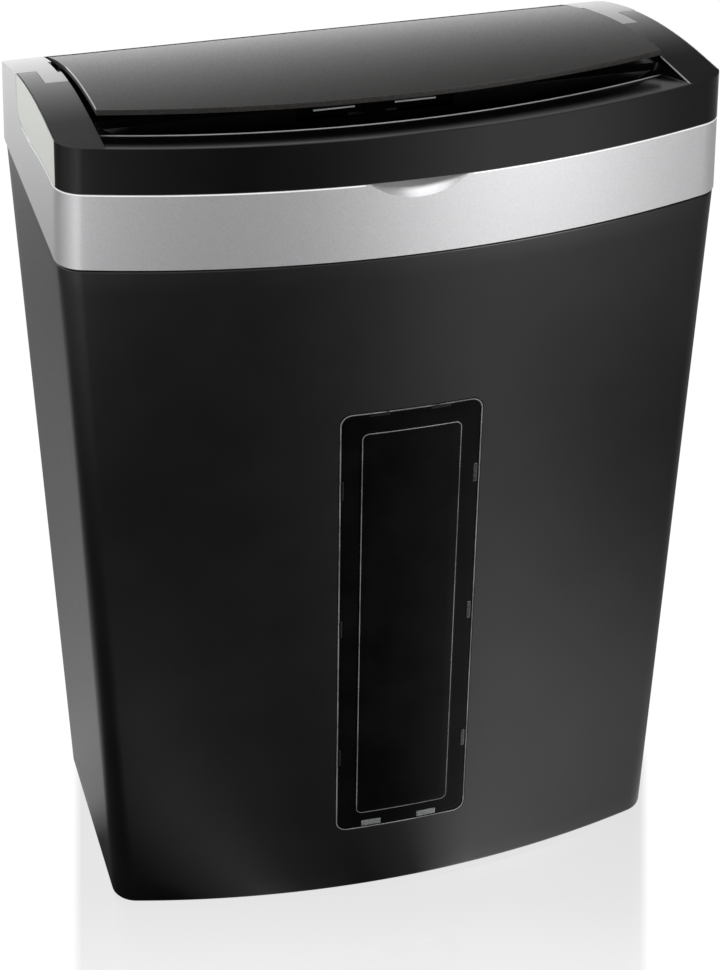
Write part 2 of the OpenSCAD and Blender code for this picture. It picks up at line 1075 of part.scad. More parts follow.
module gear(m, n, phase, bore) {
    difference() {
        polygon(gear_points(m, n, phase));
        circle(bore);
    }
}

module gear_at(y, z, x0, x1, m, n, phase, bore) {
    translate([0, y, z])
        along_x(x0, x1)
            gear(m, n, phase, bore);
}

// Phase of a gear whose mate lies at angle dir and holds a tooth towards it.
function mate_phase(dir, n) = dir + 180 + 180 / n;

drive_x0 = plate_x + plate_t + 1.2;
drive_x1 = drive_x0 + 6;
mid_x0 = drive_x1 + 0.8;
mid_x1 = mid_x0 + 6;
out_x0 = mid_x1 + 1.2;
out_x1 = out_x0 + 7;
cover_x = out_x1 + 2.5;

module front_cutter_gear() {
    color([0.5, 0.5, 0.52])
        gear_at(front_axis_y, axis_z, drive_x0, drive_x1, drive_m, drive_n,
                mate_phase(180, drive_n), journal_r + run);
}

module rear_cutter_gear() {
    color([0.5, 0.5, 0.52])
        gear_at(rear_axis_y, axis_z, drive_x0, drive_x1, drive_m, drive_n, 180,
                journal_r + run);
}

module output_gear() {
    color([0.85, 0.84, 0.8])
        gear_at(rear_axis_y, axis_z, out_x0, out_x1, out_m, out_n, second_dir,
                journal_r + run);
}

module second_reduction_gear() {
    color([0.9, 0.89, 0.85])
        union() {
            gear_at(second_y, second_z, mid_x0, mid_x1, mid_m, mid_n, first_dir,
                    stud_r + run);
            gear_at(second_y, second_z, mid_x1 - 0.01, out_x1 + 0.5, out_m, out_pinion_n,
                    mate_phase(second_dir, out_pinion_n), stud_r + run);
        }
}

module first_reduction_gear() {
    color([0.9, 0.89, 0.85])
        union() {
            gear_at(first_y, first_z, drive_x0 + 0.3, drive_x1 - 0.5, fast_m, fast_n,
                    motor_dir, stud_r + run);
            gear_at(first_y, first_z, drive_x1 - 0.51, mid_x1 + 0.5, mid_m, mid_pinion_n,
                    mate_phase(first_dir, mid_pinion_n), stud_r + run);
        }
}

module gear_studs() {
    color([0.7, 0.7, 0.72]) {
        rod_x(second_y, second_z, stud_r, plate_x - 0.1, cover_x + 2.5);
        rod_x(first_y, first_z, stud_r, plate_x - 0.1, cover_x + 2.5);
    }
}

module gear_cover() {
    color([0.15, 0.15, 0.16])
        along_x(cover_x, cover_x + 2)
            difference() {
                polygon([[-64, 426], [-14, 426], [30, 444], [30, 486], [16, 493],
                         [-44, 493], [-64, 476]]);
                translate([second_y, second_z])
                    circle(stud_r + run);
                translate([first_y, first_z])
                    circle(stud_r + run);
            }
}

// ---- motor ---------------------------------------------------------------

module motor_can() {
    color([0.4, 0.4, 0.42])
        difference() {
            rod_x(motor_y, motor_z, motor_r, motor_x0 + plate_end, motor_x1 - plate_end);
            rod_x(motor_y, motor_z, motor_r - 1.6, motor_x0, motor_x1);
        }
}

module motor_end_plates() {
    color([0.55, 0.55, 0.57])
        for (x = [motor_x0, motor_x1 - plate_end])
            difference() {
                rod_x(motor_y, motor_z, motor_r, x + 0.05, x + plate_end - 0.05);
                rod_x(motor_y, motor_z, rotor_r + run, x - 1, x + plate_end + 1);
                for (s = [-1, 1])
                    rod_x(motor_y, motor_z + s * 18, 1.7, x - 1, x + plate_end + 1);
            }
}

module motor_armature() {
    color([0.6, 0.35, 0.2])
        union() {
            rod_x(motor_y, motor_z, 16, motor_x0 + 22, motor_x1 - 18);
            rod_x(motor_y, motor_z, rotor_r, motor_x0 - 18, drive_x1 + 0.4);
        }
}

module motor_pinion() {
    color([0.75, 0.65, 0.35])
        gear_at(motor_y, motor_z, drive_x0, drive_x1, fast_m, motor_n,
                mate_phase(motor_dir, motor_n), rotor_r + run);
}

module cooling_fan() {
    color([0.1, 0.1, 0.1])
        translate([0, motor_y, motor_z])
            along_x(motor_x0 - 15, motor_x0 - 6)
                difference() {
                    union() {
                        circle(6);
                        for (k = [0:6])
                            rotate(k * 360 / 7)
                                translate([4, -1])
                                    square([17, 2]);
                    }
                    circle(rotor_r + run);
                }
}

module motor_screws() {
    color([0.3, 0.3, 0.32])
        for (s = [-1, 1]) {
            rod_x(motor_y, motor_z + s * 18, 1.6, motor_x1 - plate_end + 0.5,
                  plate_x + plate_t + 0.1);
            rod_x(motor_y, motor_z + s * 18, 3, plate_x + plate_t + 0.05,
                  plate_x + plate_t + 1.8);
        }
}

// ---- electrics -----------------------------------------------------------

board_z = tub_z + tub_t + 4;

module control_board() {
    color([0.1, 0.3, 0.14])
        union() {
            box(-150, -34, 8, 80, board_z, board_z + 1.6);
            for (x = [-144, -40], y = [14, 74])
                translate([x, y, tub_z + tub_t + 0.02])
                    cylinder(r = 3, h = 4);
        }
}

module board_components() {
    top = board_z + 1.6;
    color([0.15, 0.15, 0.17]) {
        box(-140, -112, 20, 46, top, top + 22);
        box(-104, -88, 16, 30, top, top + 15);
        box(-104, -88, 36, 50, top, top + 15);
        box(-80, -50, 60, 66, top, top + 26);
        box(-144, -120, 62, 74, top, top + 10);
        for (p = [[-68, 22], [-52, 26]])
            translate([p[0], p[1], top])
                cylinder(r = 6, h = 20);
        translate([-66, 46, top])
            cylinder(r = 9, h = 7);
    }
}

gland_x = 173;
gland_z = 467;
gland_r = 7;
cord_r = 3.6;

module cord_gland() {
    color([0.05, 0.05, 0.05])
        translate([gland_x, back_y, gland_z])
            rotate([90, 0, 0])
                difference() {
                    union() {
                        cylinder(r = gland_r, h = 12);
                        translate([0, 0, shell + 0.6])
                            cylinder(r = 8.6, h = 3);
                    }
                    translate([0, 0, -1])
                        cylinder(r = cord_r, h = 20);
                }
}

plunger_x = -183;
plunger_y = -12;
plunger_r = 2;

module interlock_plunger() {
    color([0.8, 0.8, 0.8])
        translate([plunger_x, plunger_y, 0]) {
            translate([0, 0, flange_z + 0.1])
                cylinder(r = plunger_r, h = flange_top - flange_z + 4.4);
            translate([0, 0, flange_top + 0.4])
                cylinder(r = 2.4, h = 1.4);
        }
}

module interlock_switch() {
    color([0.1, 0.1, 0.11])
        difference() {
            box(plunger_x - 3.4, plunger_x + 7, plunger_y - 9, plunger_y + 9,
                flange_top + 0.05, flange_top + 14);
            box(plunger_x - 2.7, plunger_x + 2.7, plunger_y - 2.7, plunger_y + 2.7,
                flange_top - 1, flange_top + 7.5);
        }
}

bin();
bin_window();
foot_pads();
head_chassis();
band();
left_side_inlay();
right_side_inlay();
top_housing();
lid();
lid_hinge_pins();
indicator_bars();
mode_slider();
mode_switch_body();
case_screws();
feed_funnel();
front_feed_plate();
rear_feed_plates();
paper_flag();
flag_pin();
left_side_plate();
right_side_plate();
tie_rods();
cutter_bushes();
front_cutter_shaft();
front_cutter_discs();
front_spacers();
rear_cutter_shaft();
rear_cutter_discs();
rear_spacers();
front_stripper_comb();
rear_stripper_comb();
front_cutter_gear();
rear_cutter_gear();
output_gear();
second_reduction_gear();
first_reduction_gear();
gear_studs();
gear_cover();
motor_can();
motor_end_plates();
motor_armature();
motor_pinion();
cooling_fan();
motor_screws();
mechanism_screws();
control_board();
board_components();
cord_gland();
interlock_plunger();
interlock_switch();
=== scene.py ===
"""Console paper shredder: a tapered bin with a window, and a lift-off shredding head."""
import json
from math import atan2, cos, pi, radians, sin, sqrt, tan

import bmesh
import bpy
from mathutils import Matrix, Vector


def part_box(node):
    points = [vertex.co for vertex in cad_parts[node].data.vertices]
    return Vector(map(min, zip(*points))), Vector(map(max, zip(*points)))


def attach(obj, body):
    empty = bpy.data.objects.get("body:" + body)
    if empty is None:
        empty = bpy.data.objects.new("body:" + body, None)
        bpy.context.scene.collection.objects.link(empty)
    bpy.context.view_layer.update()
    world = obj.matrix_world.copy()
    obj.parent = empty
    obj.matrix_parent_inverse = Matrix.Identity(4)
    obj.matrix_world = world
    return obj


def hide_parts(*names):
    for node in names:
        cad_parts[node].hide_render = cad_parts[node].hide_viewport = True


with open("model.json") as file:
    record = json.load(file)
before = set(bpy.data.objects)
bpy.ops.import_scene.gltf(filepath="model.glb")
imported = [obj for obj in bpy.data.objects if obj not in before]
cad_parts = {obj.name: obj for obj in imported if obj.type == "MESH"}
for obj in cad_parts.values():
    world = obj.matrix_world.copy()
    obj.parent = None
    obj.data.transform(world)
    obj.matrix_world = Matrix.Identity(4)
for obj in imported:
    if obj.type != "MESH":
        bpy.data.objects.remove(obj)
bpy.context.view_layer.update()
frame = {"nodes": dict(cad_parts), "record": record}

MM = 0.001


def box_mm(node):
    """Lowest and highest corner of a CAD node, in millimetres."""
    lo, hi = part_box(node)
    return lo / MM, hi / MM


# ---- sizes, in millimetres ---------------------------------------------------
#
# An outline has half width w, front middle f, bow of the front s and back b. A crown is a circle
# in the YZ plane with radius r and its centre at y and z.

BIN_LO, BIN_HI = box_mm("bin")
BAND_LO, BAND_HI = box_mm("band")
LID_LO, LID_HI = box_mm("lid")
WINDOW_LO, WINDOW_HI = box_mm("bin_window")

FOOT_Z, RIM_Z = BIN_LO.z, BIN_HI.z
BIN_WALL = 2.8
BIN_LEDGE = 6
BIN_CORNER = 17
BIN_FOOT = dict(w=BIN_HI.x - 10, f=-88.6, s=27, b=99)
BIN_RIM = dict(w=BIN_HI.x, f=BIN_LO.y, s=33, b=BIN_HI.y)

WINDOW_Z = (WINDOW_LO.z + WINDOW_HI.z) / 2
# Half width, half height and corner radius of the window's flange and of its raised pane.
FLANGE = (WINDOW_HI.x, (WINDOW_HI.z - WINDOW_LO.z) / 2, 7)
PANE = (29.5, 140.5, 4)
# Depth of the flange's recess and the gap round the flange, then how far inside the flange's
# outline the opening lies and its corner radius.
RECESS, RECESS_GAP = 1.4, 0.5
HOLE_IN, HOLE_CORNER = 9, 4
# Thickness and length of a catch, where the middles of the catches lie along the window's sides
# and ends, and how far they lie inside the flange's outline.
CLIP = (2.6, 12.5)
CLIP_SIDE_Z = (-94.4, 4.3, 102.8)
CLIP_END_X = (-19.4, 16.6)
CLIP_IN = dict(left=1.2, right=2.8, top=1.2, foot=3.6)
CLIP_FOOT_W = 1.6 * CLIP[0]
# Painted highlights on fine edges, as rings: name, outline, how far out the middle lies and half
# width, then how far inside the outline the middle lies and half thickness.
HIGHLIGHT_RINGS = (("flange_highlight", FLANGE, 0.15, 0.4), ("pane_highlight", PANE, 0.95, 0.28))
TRIM_IN, TRIM_T = 0.35, 0.25

HEAD_Z0, HEAD_Z1 = BAND_LO.z, 532
HEAD_LOW = dict(w=BAND_HI.x, f=-112.5, s=34, b=BAND_HI.y)
HEAD_HIGH = dict(w=BAND_HI.x - 3.6, f=-BAND_HI.y - 0.25, s=34, b=BAND_HI.y)
SHELL = 2.4
GAP = 0.3
# How far the cutting solids reach sideways, forwards and back, and below and above the head.
WIDE, DEEP, UNDER, TOP = 210, 130, 440, 560
# Top of the head's outer blank, and the foot and top of the inner ones that hollow it.
BLANK_TOP, CORE_FOOT, CORE_TOP = 540, 450, 545

DECK = dict(r=560, y=-49, z=-35)
LID_CROWN = dict(r=550, y=-69, z=-18.5)
LID = dict(w=LID_HI.x, f=LID_LO.y, s=23, b=LID_HI.y)
LID_T = 3
FLOOR_DROP = 9
# The hinge's y and z, the holes of its pins, and a lug's radius, X and height at front and rear.
PIVOT = (78, 503)
PIN_HOLE_R, PIN_REACH = 2.05, 170
LUG_R, LUG_X, LUG_TOP = 5, (151, 159), (511, 509.5)

# The well behind the lid, the ears at the rear corners, the tabs beside the lid with the room for
# them in the housing, and the notches for the lid's lugs.
WELL_X, WELL_Y0, WELL_Y1, WELL_Z = 162.5, 68.4, 111, 476.4
EAR_Y, EAR_ROUND = 54, 11
TAB_X, TAB_Y, TAB_Z = 175.5, 21.5, 504
TAB_ROOM_Y, TAB_ROOM_Z = 70, 480
NOTCH_Y = (46, 82)
# Underside of the plate round the throat.
PLATE_Z = 511.1
# Between the ears the band ends at REAR_Z. Below that are the vents and the cord gland's hole.
MIDDLE_Y = (10, 112.5)
REAR_X, REAR_Y, REAR_Z = 150, 100, 490.4
VENTS, VENT_PITCH, VENT_W, VENT_Z = range(-6, 6), 12, 5, (460, 471)
GLAND_R, GLAND_AT = 7.05, (173, 110, 467)
# The band's upper edge as (y, z), from the front to where it turns up the ear in an arc.
BAND_LINE = [(-64, 499), (-30, 497.2), (12, 491.8), (EAR_Y - EAR_ROUND, REAR_Z + 0.3)]
# The scoop's half width and depth and the ball that cuts it, and the block left solid behind it.
SCOOP = dict(w=27, d=9.5, r=60)
SCOOP_BLOCK = (-30, 30, -DEEP, -101, 486, 500)
# Radius of the band's painted highlight bead and how far inside the outline it lies, and of the others.
EDGE_R, EDGE_IN = 0.55, 0.35
BEAD_R = 0.45
# The side panels start at INLAY_Y, lie outside INLAY_X and stand back from the head's outline.
INLAY_X, INLAY_Y, INLAY_BACK = 150, -70.7, 0.1
INLAY_DROP = 1.6
INLAY_LIP = 0.6
INLAY_ROOM_Z = 470

LIP_Z = 517.5
LIP = dict(w=160, f=-78.2, s=25, b=-45)
TRAY = dict(w=WELL_X, f=-114.2, s=25.5, b=-45)
SLOT_Y, SLOT_Z, SLOT_W, SLOT_GAP = -52, 497, 230, 7
THROAT_BACK = -45
PANEL_X, PANEL_W, PANEL_Z = -5, 45, (509, 519)

# Edges sharper than this, in degrees, stay sharp.
SMOOTH, BEAD_SMOOTH = 38, 80


# ---- mesh helpers ------------------------------------------------------------

def mix(a, b, k):
    """From a at k = 0 to b at k = 1."""
    return a + (b - a) * k


def arc(cx, cy, r, a0, a1, n):
    """Points and outward normals along an arc, without its last point."""
    out = []
    for i in range(n):
        a = a0 + (a1 - a0) * i / n
        out.append((cx + r * cos(a), cy + r * sin(a), cos(a), sin(a)))
    return out


def circle(r, n=12):
    """n points round a circle about the origin."""
    return [(r * cos(2 * pi * i / n), r * sin(2 * pi * i / n)) for i in range(n)]


def straight(p, q, n, normal):
    """n points from p towards q, without q, all with the same normal."""
    return [(mix(p[0], q[0], i / n), mix(p[1], q[1], i / n), *normal) for i in range(n)]


def bow_radius(w, s):
    """Radius of an arc with half width w and bow s."""
    return (w * w + s * s) / (2 * s)


def bow_y(size, x):
    """Where the bowed front of an outline lies at x."""
    big = bow_radius(size["w"], size["s"])
    return size["f"] + big - sqrt(big * big - x * x)


def bowed(w, f, s, b, r=19, rb=8):
    """An outline's points, as (x, y, normal x, normal y), anticlockwise from the back left.

    r is the radius of the front corners, rb that of the back corners.
    """
    big = bow_radius(w, s)
    cy = f + big
    dy = sqrt((big - r) ** 2 - (w - r) ** 2)
    turn = atan2(dy, w - r)
    front_y = cy - dy
    return (arc(-w + rb, b - rb, rb, pi / 2, pi, 6)
            + straight((-w, b - rb), (-w, front_y), 12, (-1, 0))
            + arc(-w + r, front_y, r, pi, pi + turn, 14)
            + arc(0, cy, big, pi + turn, 2 * pi - turn, 60)
            + arc(w - r, front_y, r, 2 * pi - turn, 2 * pi, 14)
            + straight((w, front_y), (w, b - rb), 12, (1, 0))
            + arc(w - rb, b - rb, rb, 0, pi / 2, 6)
            + straight((w - rb, b), (-w + rb, b), 16, (0, 1)))


def filleted(points, steps=4):
    """A polyline of (a, b, radius) corners with each corner rounded, as (a, b) points."""
    out = []
    for i, (a, b, r) in enumerate(points):
        if not r:
            out.append((a, b))
            continue
        p = Vector((a, b))
        before = (Vector(points[i - 1][:2]) - p).normalized()
        after = (Vector(points[i + 1][:2]) - p).normalized()
        half = before.angle(after) / 2
        centre = p + (before + after).normalized() * r / sin(half)
        start = p + before * r / tan(half) - centre
        turn = start.angle_signed(p + after * r / tan(half) - centre)
        for k in range(steps + 1):
            v = Matrix.Rotation(-turn * k / steps, 2) @ start
            out.append((centre.x + v.x, centre.y + v.y))
    return out


def divided(path, step):
    """The polyline with points added so that none are further apart than step."""
    out = [path[0]]
    for p, q in zip(path, path[1:]):
        n = max(1, round((Vector(q) - Vector(p)).length / step))
        out += [tuple(mix(c, d, k / n) for c, d in zip(p, q)) for k in range(1, n + 1)]
    return out


def loft(rings):
    """Vertices and faces of a closed solid through rings of equal length, capped at both ends."""
    n = len(rings[0])
    verts = [p for ring in rings for p in ring]
    faces = [(k * n + i, k * n + (i + 1) % n, (k + 1) * n + (i + 1) % n, (k + 1) * n + i)
             for k in range(len(rings) - 1) for i in range(n)]
    faces.append(tuple(range(n))[::-1])
    faces.append(tuple(range((len(rings) - 1) * n, len(rings) * n)))
    return verts, faces


def hoop(rings):
    """Vertices and faces of a closed tube from closed rings of equal length."""
    n, m = len(rings[0]), len(rings)
    faces = [(k * n + i, k * n + (i + 1) % n, (k + 1) % m * n + (i + 1) % n, (k + 1) % m * n + i)
             for k in range(m) for i in range(n)]
    return [p for ring in rings for p in ring], faces


def mesh_object(name, verts, faces, smooth=SMOOTH):
    """A new object from millimetre vertices, with outward faces and smooth shading."""
    bm = bmesh.new()
    made = [bm.verts.new(Vector(v) * MM) for v in verts]
    for face in faces:
        bm.faces.new([made[i] for i in face])
    bmesh.ops.recalc_face_normals(bm, faces=bm.faces[:])
    mesh = bpy.data.meshes.new(name)
    bm.to_mesh(mesh)
    bm.free()
    obj = bpy.data.objects.new(name, mesh)
    bpy.context.scene.collection.objects.link(obj)
    shade(obj, smooth)
    return obj


def shade(obj, angle):
    """Smooth shading, with edges sharper than angle, in degrees, kept sharp."""
    obj.data.shade_smooth()
    obj.data.set_sharp_from_angle(angle=radians(angle))


def boolean(obj, cutter, operation="DIFFERENCE"):
    """Cuts obj with cutter or joins them, keeps the result as obj's mesh and deletes the cutter."""
    mod = obj.modifiers.new("cut", "BOOLEAN")
    mod.object, mod.operation, mod.solver = cutter, operation, "EXACT"
    graph = bpy.context.evaluated_depsgraph_get()
    mesh = bpy.data.meshes.new_from_object(obj.evaluated_get(graph))
    obj.modifiers.clear()
    obj.data = mesh
    bpy.data.objects.remove(cutter)
    shade(obj, SMOOTH)


def finish_piece(obj, body, slot, *replaced, material=None):
    """Gives a new piece its finish, its body and the CAD nodes that it stands for."""
    obj.data.materials.clear()
    obj.data.materials.append(material or FINISHES[slot])
    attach(obj, body)
    if replaced:
        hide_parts(*replaced)


# ---- materials ---------------------------------------------------------------

def new_material(name):
    """A material with its nodes, its links and its Principled shader."""
    mat = bpy.data.materials.new(name)
    mat.use_nodes = True
    nodes, links = mat.node_tree.nodes, mat.node_tree.links
    return mat, nodes, links, nodes["Principled BSDF"]


def noise(nodes, links, scale, detail=3, stretch=(1, 1, 1)):
    """A noise texture in object space, scale in cells per metre."""
    coord = nodes.new("ShaderNodeTexCoord")
    mapping = nodes.new("ShaderNodeMapping")
    mapping.inputs["Scale"].default_value = stretch
    tex = nodes.new("ShaderNodeTexNoise")
    tex.inputs["Scale"].default_value = scale
    tex.inputs["Detail"].default_value = detail
    links.new(coord.outputs["Object"], mapping.inputs["Vector"])
    links.new(mapping.outputs["Vector"], tex.inputs["Vector"])
    return tex.outputs["Fac"]


def ramp(nodes, links, source, low, high):
    """Maps a factor to a colour or a grey: low up to 0.35 and high from 0.65."""
    node = nodes.new("ShaderNodeValToRGB")
    for element, place, value in zip(node.color_ramp.elements, (0.35, 0.65), (low, high)):
        element.position = place
        element.color = (*value, 1) if isinstance(value, tuple) else (value, value, value, 1)
    links.new(source, node.inputs["Fac"])
    return node.outputs["Color"]


def grain(nodes, links, shader, scale, depth, strength):
    """A moulded surface grain: fine bumps, depth in metres."""
    bump = nodes.new("ShaderNodeBump")
    bump.inputs["Strength"].default_value = strength
    bump.inputs["Distance"].default_value = depth
    links.new(noise(nodes, links, scale, 4), bump.inputs["Height"])
    links.new(bump.outputs["Normal"], shader.inputs["Normal"])


def plastic(name, dark, light, rough=(0.4, 0.5), specular=0.4, metallic=0.0,
            patch=30, fine=900, strength=0.5):
    """Moulded plastic: slight colour variation, uneven gloss and a fine grain."""
    mat, nodes, links, shader = new_material(name)
    links.new(ramp(nodes, links, noise(nodes, links, patch), dark, light),
              shader.inputs["Base Color"])
    links.new(ramp(nodes, links, noise(nodes, links, fine, 2), *rough),
              shader.inputs["Roughness"])
    shader.inputs["Specular IOR Level"].default_value = specular
    shader.inputs["Metallic"].default_value = metallic
    grain(nodes, links, shader, fine, 0.00002, strength)
    return mat


def metal(name, dark, light, rough=(0.25, 0.4), stretch=(1, 1, 1)):
    """Machined or plated metal with fine marks along one direction."""
    mat, nodes, links, shader = new_material(name)
    links.new(ramp(nodes, links, noise(nodes, links, 60, 4), dark, light),
              shader.inputs["Base Color"])
    marks = noise(nodes, links, 600, 3, stretch)
    links.new(ramp(nodes, links, marks, *rough), shader.inputs["Roughness"])
    shader.inputs["Metallic"].default_value = 1
    bump = nodes.new("ShaderNodeBump")
    bump.inputs["Strength"].default_value = 0.25
    bump.inputs["Distance"].default_value = 0.00002
    links.new(marks, bump.inputs["Height"])
    links.new(bump.outputs["Normal"], shader.inputs["Normal"])
    return mat


def clear_bar(name, body, front):
    """Clear plastic with a painted highlight: dark on faces that look up, bright on forward faces."""
    mat, nodes, links, shader = new_material(name)
    coord = nodes.new("ShaderNodeTexCoord")
    split = nodes.new("ShaderNodeSeparateXYZ")
    flip = nodes.new("ShaderNodeMath")
    flip.operation = "MULTIPLY"
    flip.inputs[1].default_value = -1
    links.new(coord.outputs["Normal"], split.inputs[0])
    links.new(split.outputs["Y"], flip.inputs[0])
    # Painted highlight: the colour turns from body to front as the face turns forwards.
    links.new(ramp(nodes, links, flip.outputs[0], body, front), shader.inputs["Base Color"])
    shader.inputs["Roughness"].default_value = 0.3
    grain(nodes, links, shader, 600, 0.00001, 0.2)
    return mat


FINISHES = {
    "bin_black": plastic("bin_black", (0.0025, 0.0025, 0.0024), (0.004, 0.0039, 0.0037),
                         rough=(0.28, 0.36), specular=0.4, fine=1400, strength=0.3),
    "window_smoke": plastic("window_smoke", (0.0012, 0.0012, 0.0014), (0.0028, 0.0028, 0.003),
                            rough=(0.10, 0.2), specular=0.05, fine=300, strength=0.2),
    "rubber_black": plastic("rubber_black", (0.012, 0.012, 0.012), (0.018, 0.018, 0.018),
                            rough=(0.7, 0.85), specular=0.2),
    "chassis_black": plastic("chassis_black", (0.012, 0.012, 0.012), (0.02, 0.02, 0.02)),
    "band_silver": plastic("band_silver", (0.55, 0.55, 0.56), (0.64, 0.64, 0.65),
                           rough=(0.3, 0.4), metallic=0.75, patch=1800, fine=1800),
    "inlay_silver": plastic("inlay_silver", (0.60, 0.62, 0.58), (0.70, 0.72, 0.68),
                            rough=(0.4, 0.5), metallic=0.4, patch=1800, fine=1800),
    "housing_black": plastic("housing_black", (0.0014, 0.0014, 0.0014), (0.0022, 0.0021, 0.002),
                             rough=(0.15, 0.2), specular=0.29, fine=1200, strength=0.08),
    "lid_grey": plastic("lid_grey", (0.012, 0.011, 0.0104), (0.032, 0.0298, 0.028),
                        rough=(0.3, 0.42), patch=900, fine=1500),
    "steel_bright": metal("steel_bright", (0.55, 0.55, 0.56), (0.66, 0.66, 0.67),
                          stretch=(1, 6, 6)),
    "steel_plate": metal("steel_plate", (0.50, 0.51, 0.53), (0.60, 0.61, 0.63)),
    "cutter_steel": metal("cutter_steel", (0.36, 0.36, 0.37), (0.46, 0.46, 0.46)),
    "bronze": metal("bronze", (0.60, 0.44, 0.19), (0.70, 0.53, 0.25)),
    "nylon_natural": plastic("nylon_natural", (0.70, 0.68, 0.60), (0.78, 0.76, 0.70),
                             rough=(0.4, 0.5)),
    "motor_steel": metal("motor_steel", (0.34, 0.34, 0.36), (0.44, 0.44, 0.46)),
    "copper_core": metal("copper_core", (0.52, 0.24, 0.12), (0.66, 0.32, 0.17),
                         stretch=(8, 1, 1)),
    "screw_black": metal("screw_black", (0.10, 0.10, 0.11), (0.16, 0.16, 0.17)),
    "board_green": plastic("board_green", (0.01, 0.10, 0.03), (0.02, 0.16, 0.05),
                           rough=(0.3, 0.4), fine=400),
    "component_black": plastic("component_black", (0.02, 0.02, 0.022),
                               (0.035, 0.035, 0.038)),
    # The clear bars' light front colour is a painted highlight on their forward faces.
    "clear_bar": clear_bar("clear_bar", (0.008, 0.008, 0.009), (0.62, 0.63, 0.65)),
}
# Painted highlight: near-white for the bead along the band's upper edge.
EDGE_HIGHLIGHT = plastic("edge_highlight_paint", (0.85, 0.85, 0.86), (0.92, 0.92, 0.93), rough=(0.3, 0.4),
               metallic=0.2)
# Painted highlight: light grey for the beads along the lip, the lid's left edge and the tray's right
# edge.
HIGHLIGHT_BEAD = plastic("painted_highlight_bead", (0.30, 0.30, 0.30), (0.38, 0.38, 0.38), rough=(0.2, 0.3))
# Lit and shaded copies of the catches' plastic: painted light for the foot catches, half lit grey for
# the right ones, painted shade for the left and top ones.
CLIP_PAINTED_LIT = plastic("clip_painted_lit", (0.08, 0.085, 0.085), (0.18, 0.185, 0.185),
                     rough=(0.2, 0.35), patch=700)
CLIP_PAINTED_HALF_LIT = plastic("clip_painted_half_lit", (0.012, 0.012, 0.012), (0.035, 0.035, 0.035),
                    rough=(0.2, 0.35), patch=400)
CLIP_PAINTED_SHADE = plastic("clip_painted_shade", (0.002, 0.002, 0.002), (0.005, 0.005, 0.005),
                    rough=(0.2, 0.35), specular=0.2)
# Painted highlight: grey for the rings round the window's flange and pane.
PAINTED_RING_HIGHLIGHT = plastic("window_ring_highlight", (0.09, 0.09, 0.09), (0.2, 0.2, 0.2), rough=(0.2, 0.3),
               patch=60)


def dress_cad_nodes():
    """Every CAD node gets the finish of its slot in the record."""
    for part in frame["record"]["subparts"]:
        obj = frame["nodes"][part["node"]]
        obj.data.materials.clear()
        obj.data.materials.append(FINISHES[part["material_slot"]])


# ---- bin ---------------------------------------------------------------------

def bin_size(z):
    """The bin's outline sizes at height z."""
    k = (z - FOOT_Z) / (RIM_Z - FOOT_Z)
    return {key: mix(BIN_FOOT[key], BIN_RIM[key], k) for key in BIN_FOOT}


def bin_ring(z, inset):
    """The bin's outline at height z, moved inwards by inset."""
    return [(x - nx * inset, y - ny * inset, z)
            for x, y, nx, ny in bowed(**bin_size(z), r=BIN_CORNER, rb=9)]


def bin_front(x, z, out):
    """The point at x and z on the bin's front, moved outwards by out."""
    y = bow_y(bin_size(z), x)
    normal = Vector((bow_y(bin_size(z), x + 1) - y, -1, bow_y(bin_size(z + 1), x) - y)).normalized()
    return Vector((x, y, z)) + normal * out


def round_rect(hw, hh, r, inset=0.0, across=8, up=24):
    """A rounded rectangle's points, anticlockwise seen from the front."""
    hw, hh, r = hw - inset, hh - inset, max(r - inset, 0.2)
    points = (straight((-hw + r, -hh), (hw - r, -hh), across, ())
              + arc(hw - r, -hh + r, r, -pi / 2, 0, 6)
              + straight((hw, -hh + r), (hw, hh - r), up, ())
              + arc(hw - r, hh - r, r, 0, pi / 2, 6)
              + straight((hw - r, hh), (-hw + r, hh), across, ())
              + arc(-hw + r, hh - r, r, pi / 2, pi, 6)
              + straight((-hw, hh - r), (-hw, -hh + r), up, ())
              + arc(-hw + r, -hh + r, r, pi, 1.5 * pi, 6))
    return [(p[0], p[1]) for p in points]


def window_ring(shape, inset, out):
    """A rounded rectangle laid on the bin's front, shrunk by inset and moved outwards by out."""
    return [bin_front(x, WINDOW_Z + z, out) for x, z in round_rect(*shape, inset)]


def make_bin():
    """The bin's shell with its ledge, the window's recess and the opening in it."""
    path = divided(filleted([(FOOT_Z, 60, 0), (FOOT_Z, 0, 3), (RIM_Z, 0, 1.2),
                             (RIM_Z, BIN_LEDGE, 0.8), (RIM_Z - 3, BIN_LEDGE, 0.6),
                             (RIM_Z - 3, BIN_WALL, 0.4), (FOOT_Z + 3, BIN_WALL, 5),
                             (FOOT_Z + 3, 60, 0)]), 12)
    obj = mesh_object("bin_shell", *loft([bin_ring(z, inset) for z, inset in path]))
    hw, hh, r = FLANGE
    recess = (hw + RECESS_GAP, hh + RECESS_GAP, r)
    rings = [window_ring(recess, 0, 8), window_ring(recess, 0, -RECESS)]
    rings += [window_ring(recess, inset, -RECESS) for inset in (8, 16, 24, 32)]
    boolean(obj, mesh_object("recess", *loft(rings)))
    hole = (hw - HOLE_IN, hh - HOLE_IN, HOLE_CORNER)
    boolean(obj, mesh_object("hole", *loft([window_ring(hole, 0, 9),
                                            window_ring(hole, 0, -12)])))
    finish_piece(obj, "bin", "bin_black", "bin")


def make_window():
    """The flange and the raised pane, from profiles of inset and distance outwards."""
    flange = divided(filleted([(34, -1.35, 0), (0, -1.35, 0.2), (0, -0.3, 0.5),
                               (9, -0.3, 0)]), 5)
    pane = divided(filleted([(-2.2, -0.3, 0), (0, -0.3, 0.3), (0, 1, 0.7), (22, 1, 0)]), 5)
    rings = [window_ring(FLANGE, inset, out) for inset, out in flange]
    rings += [window_ring(PANE, inset, out) for inset, out in pane]
    obj = mesh_object("window", *loft(rings))
    finish_piece(obj, "bin", "window_smoke", "bin_window")


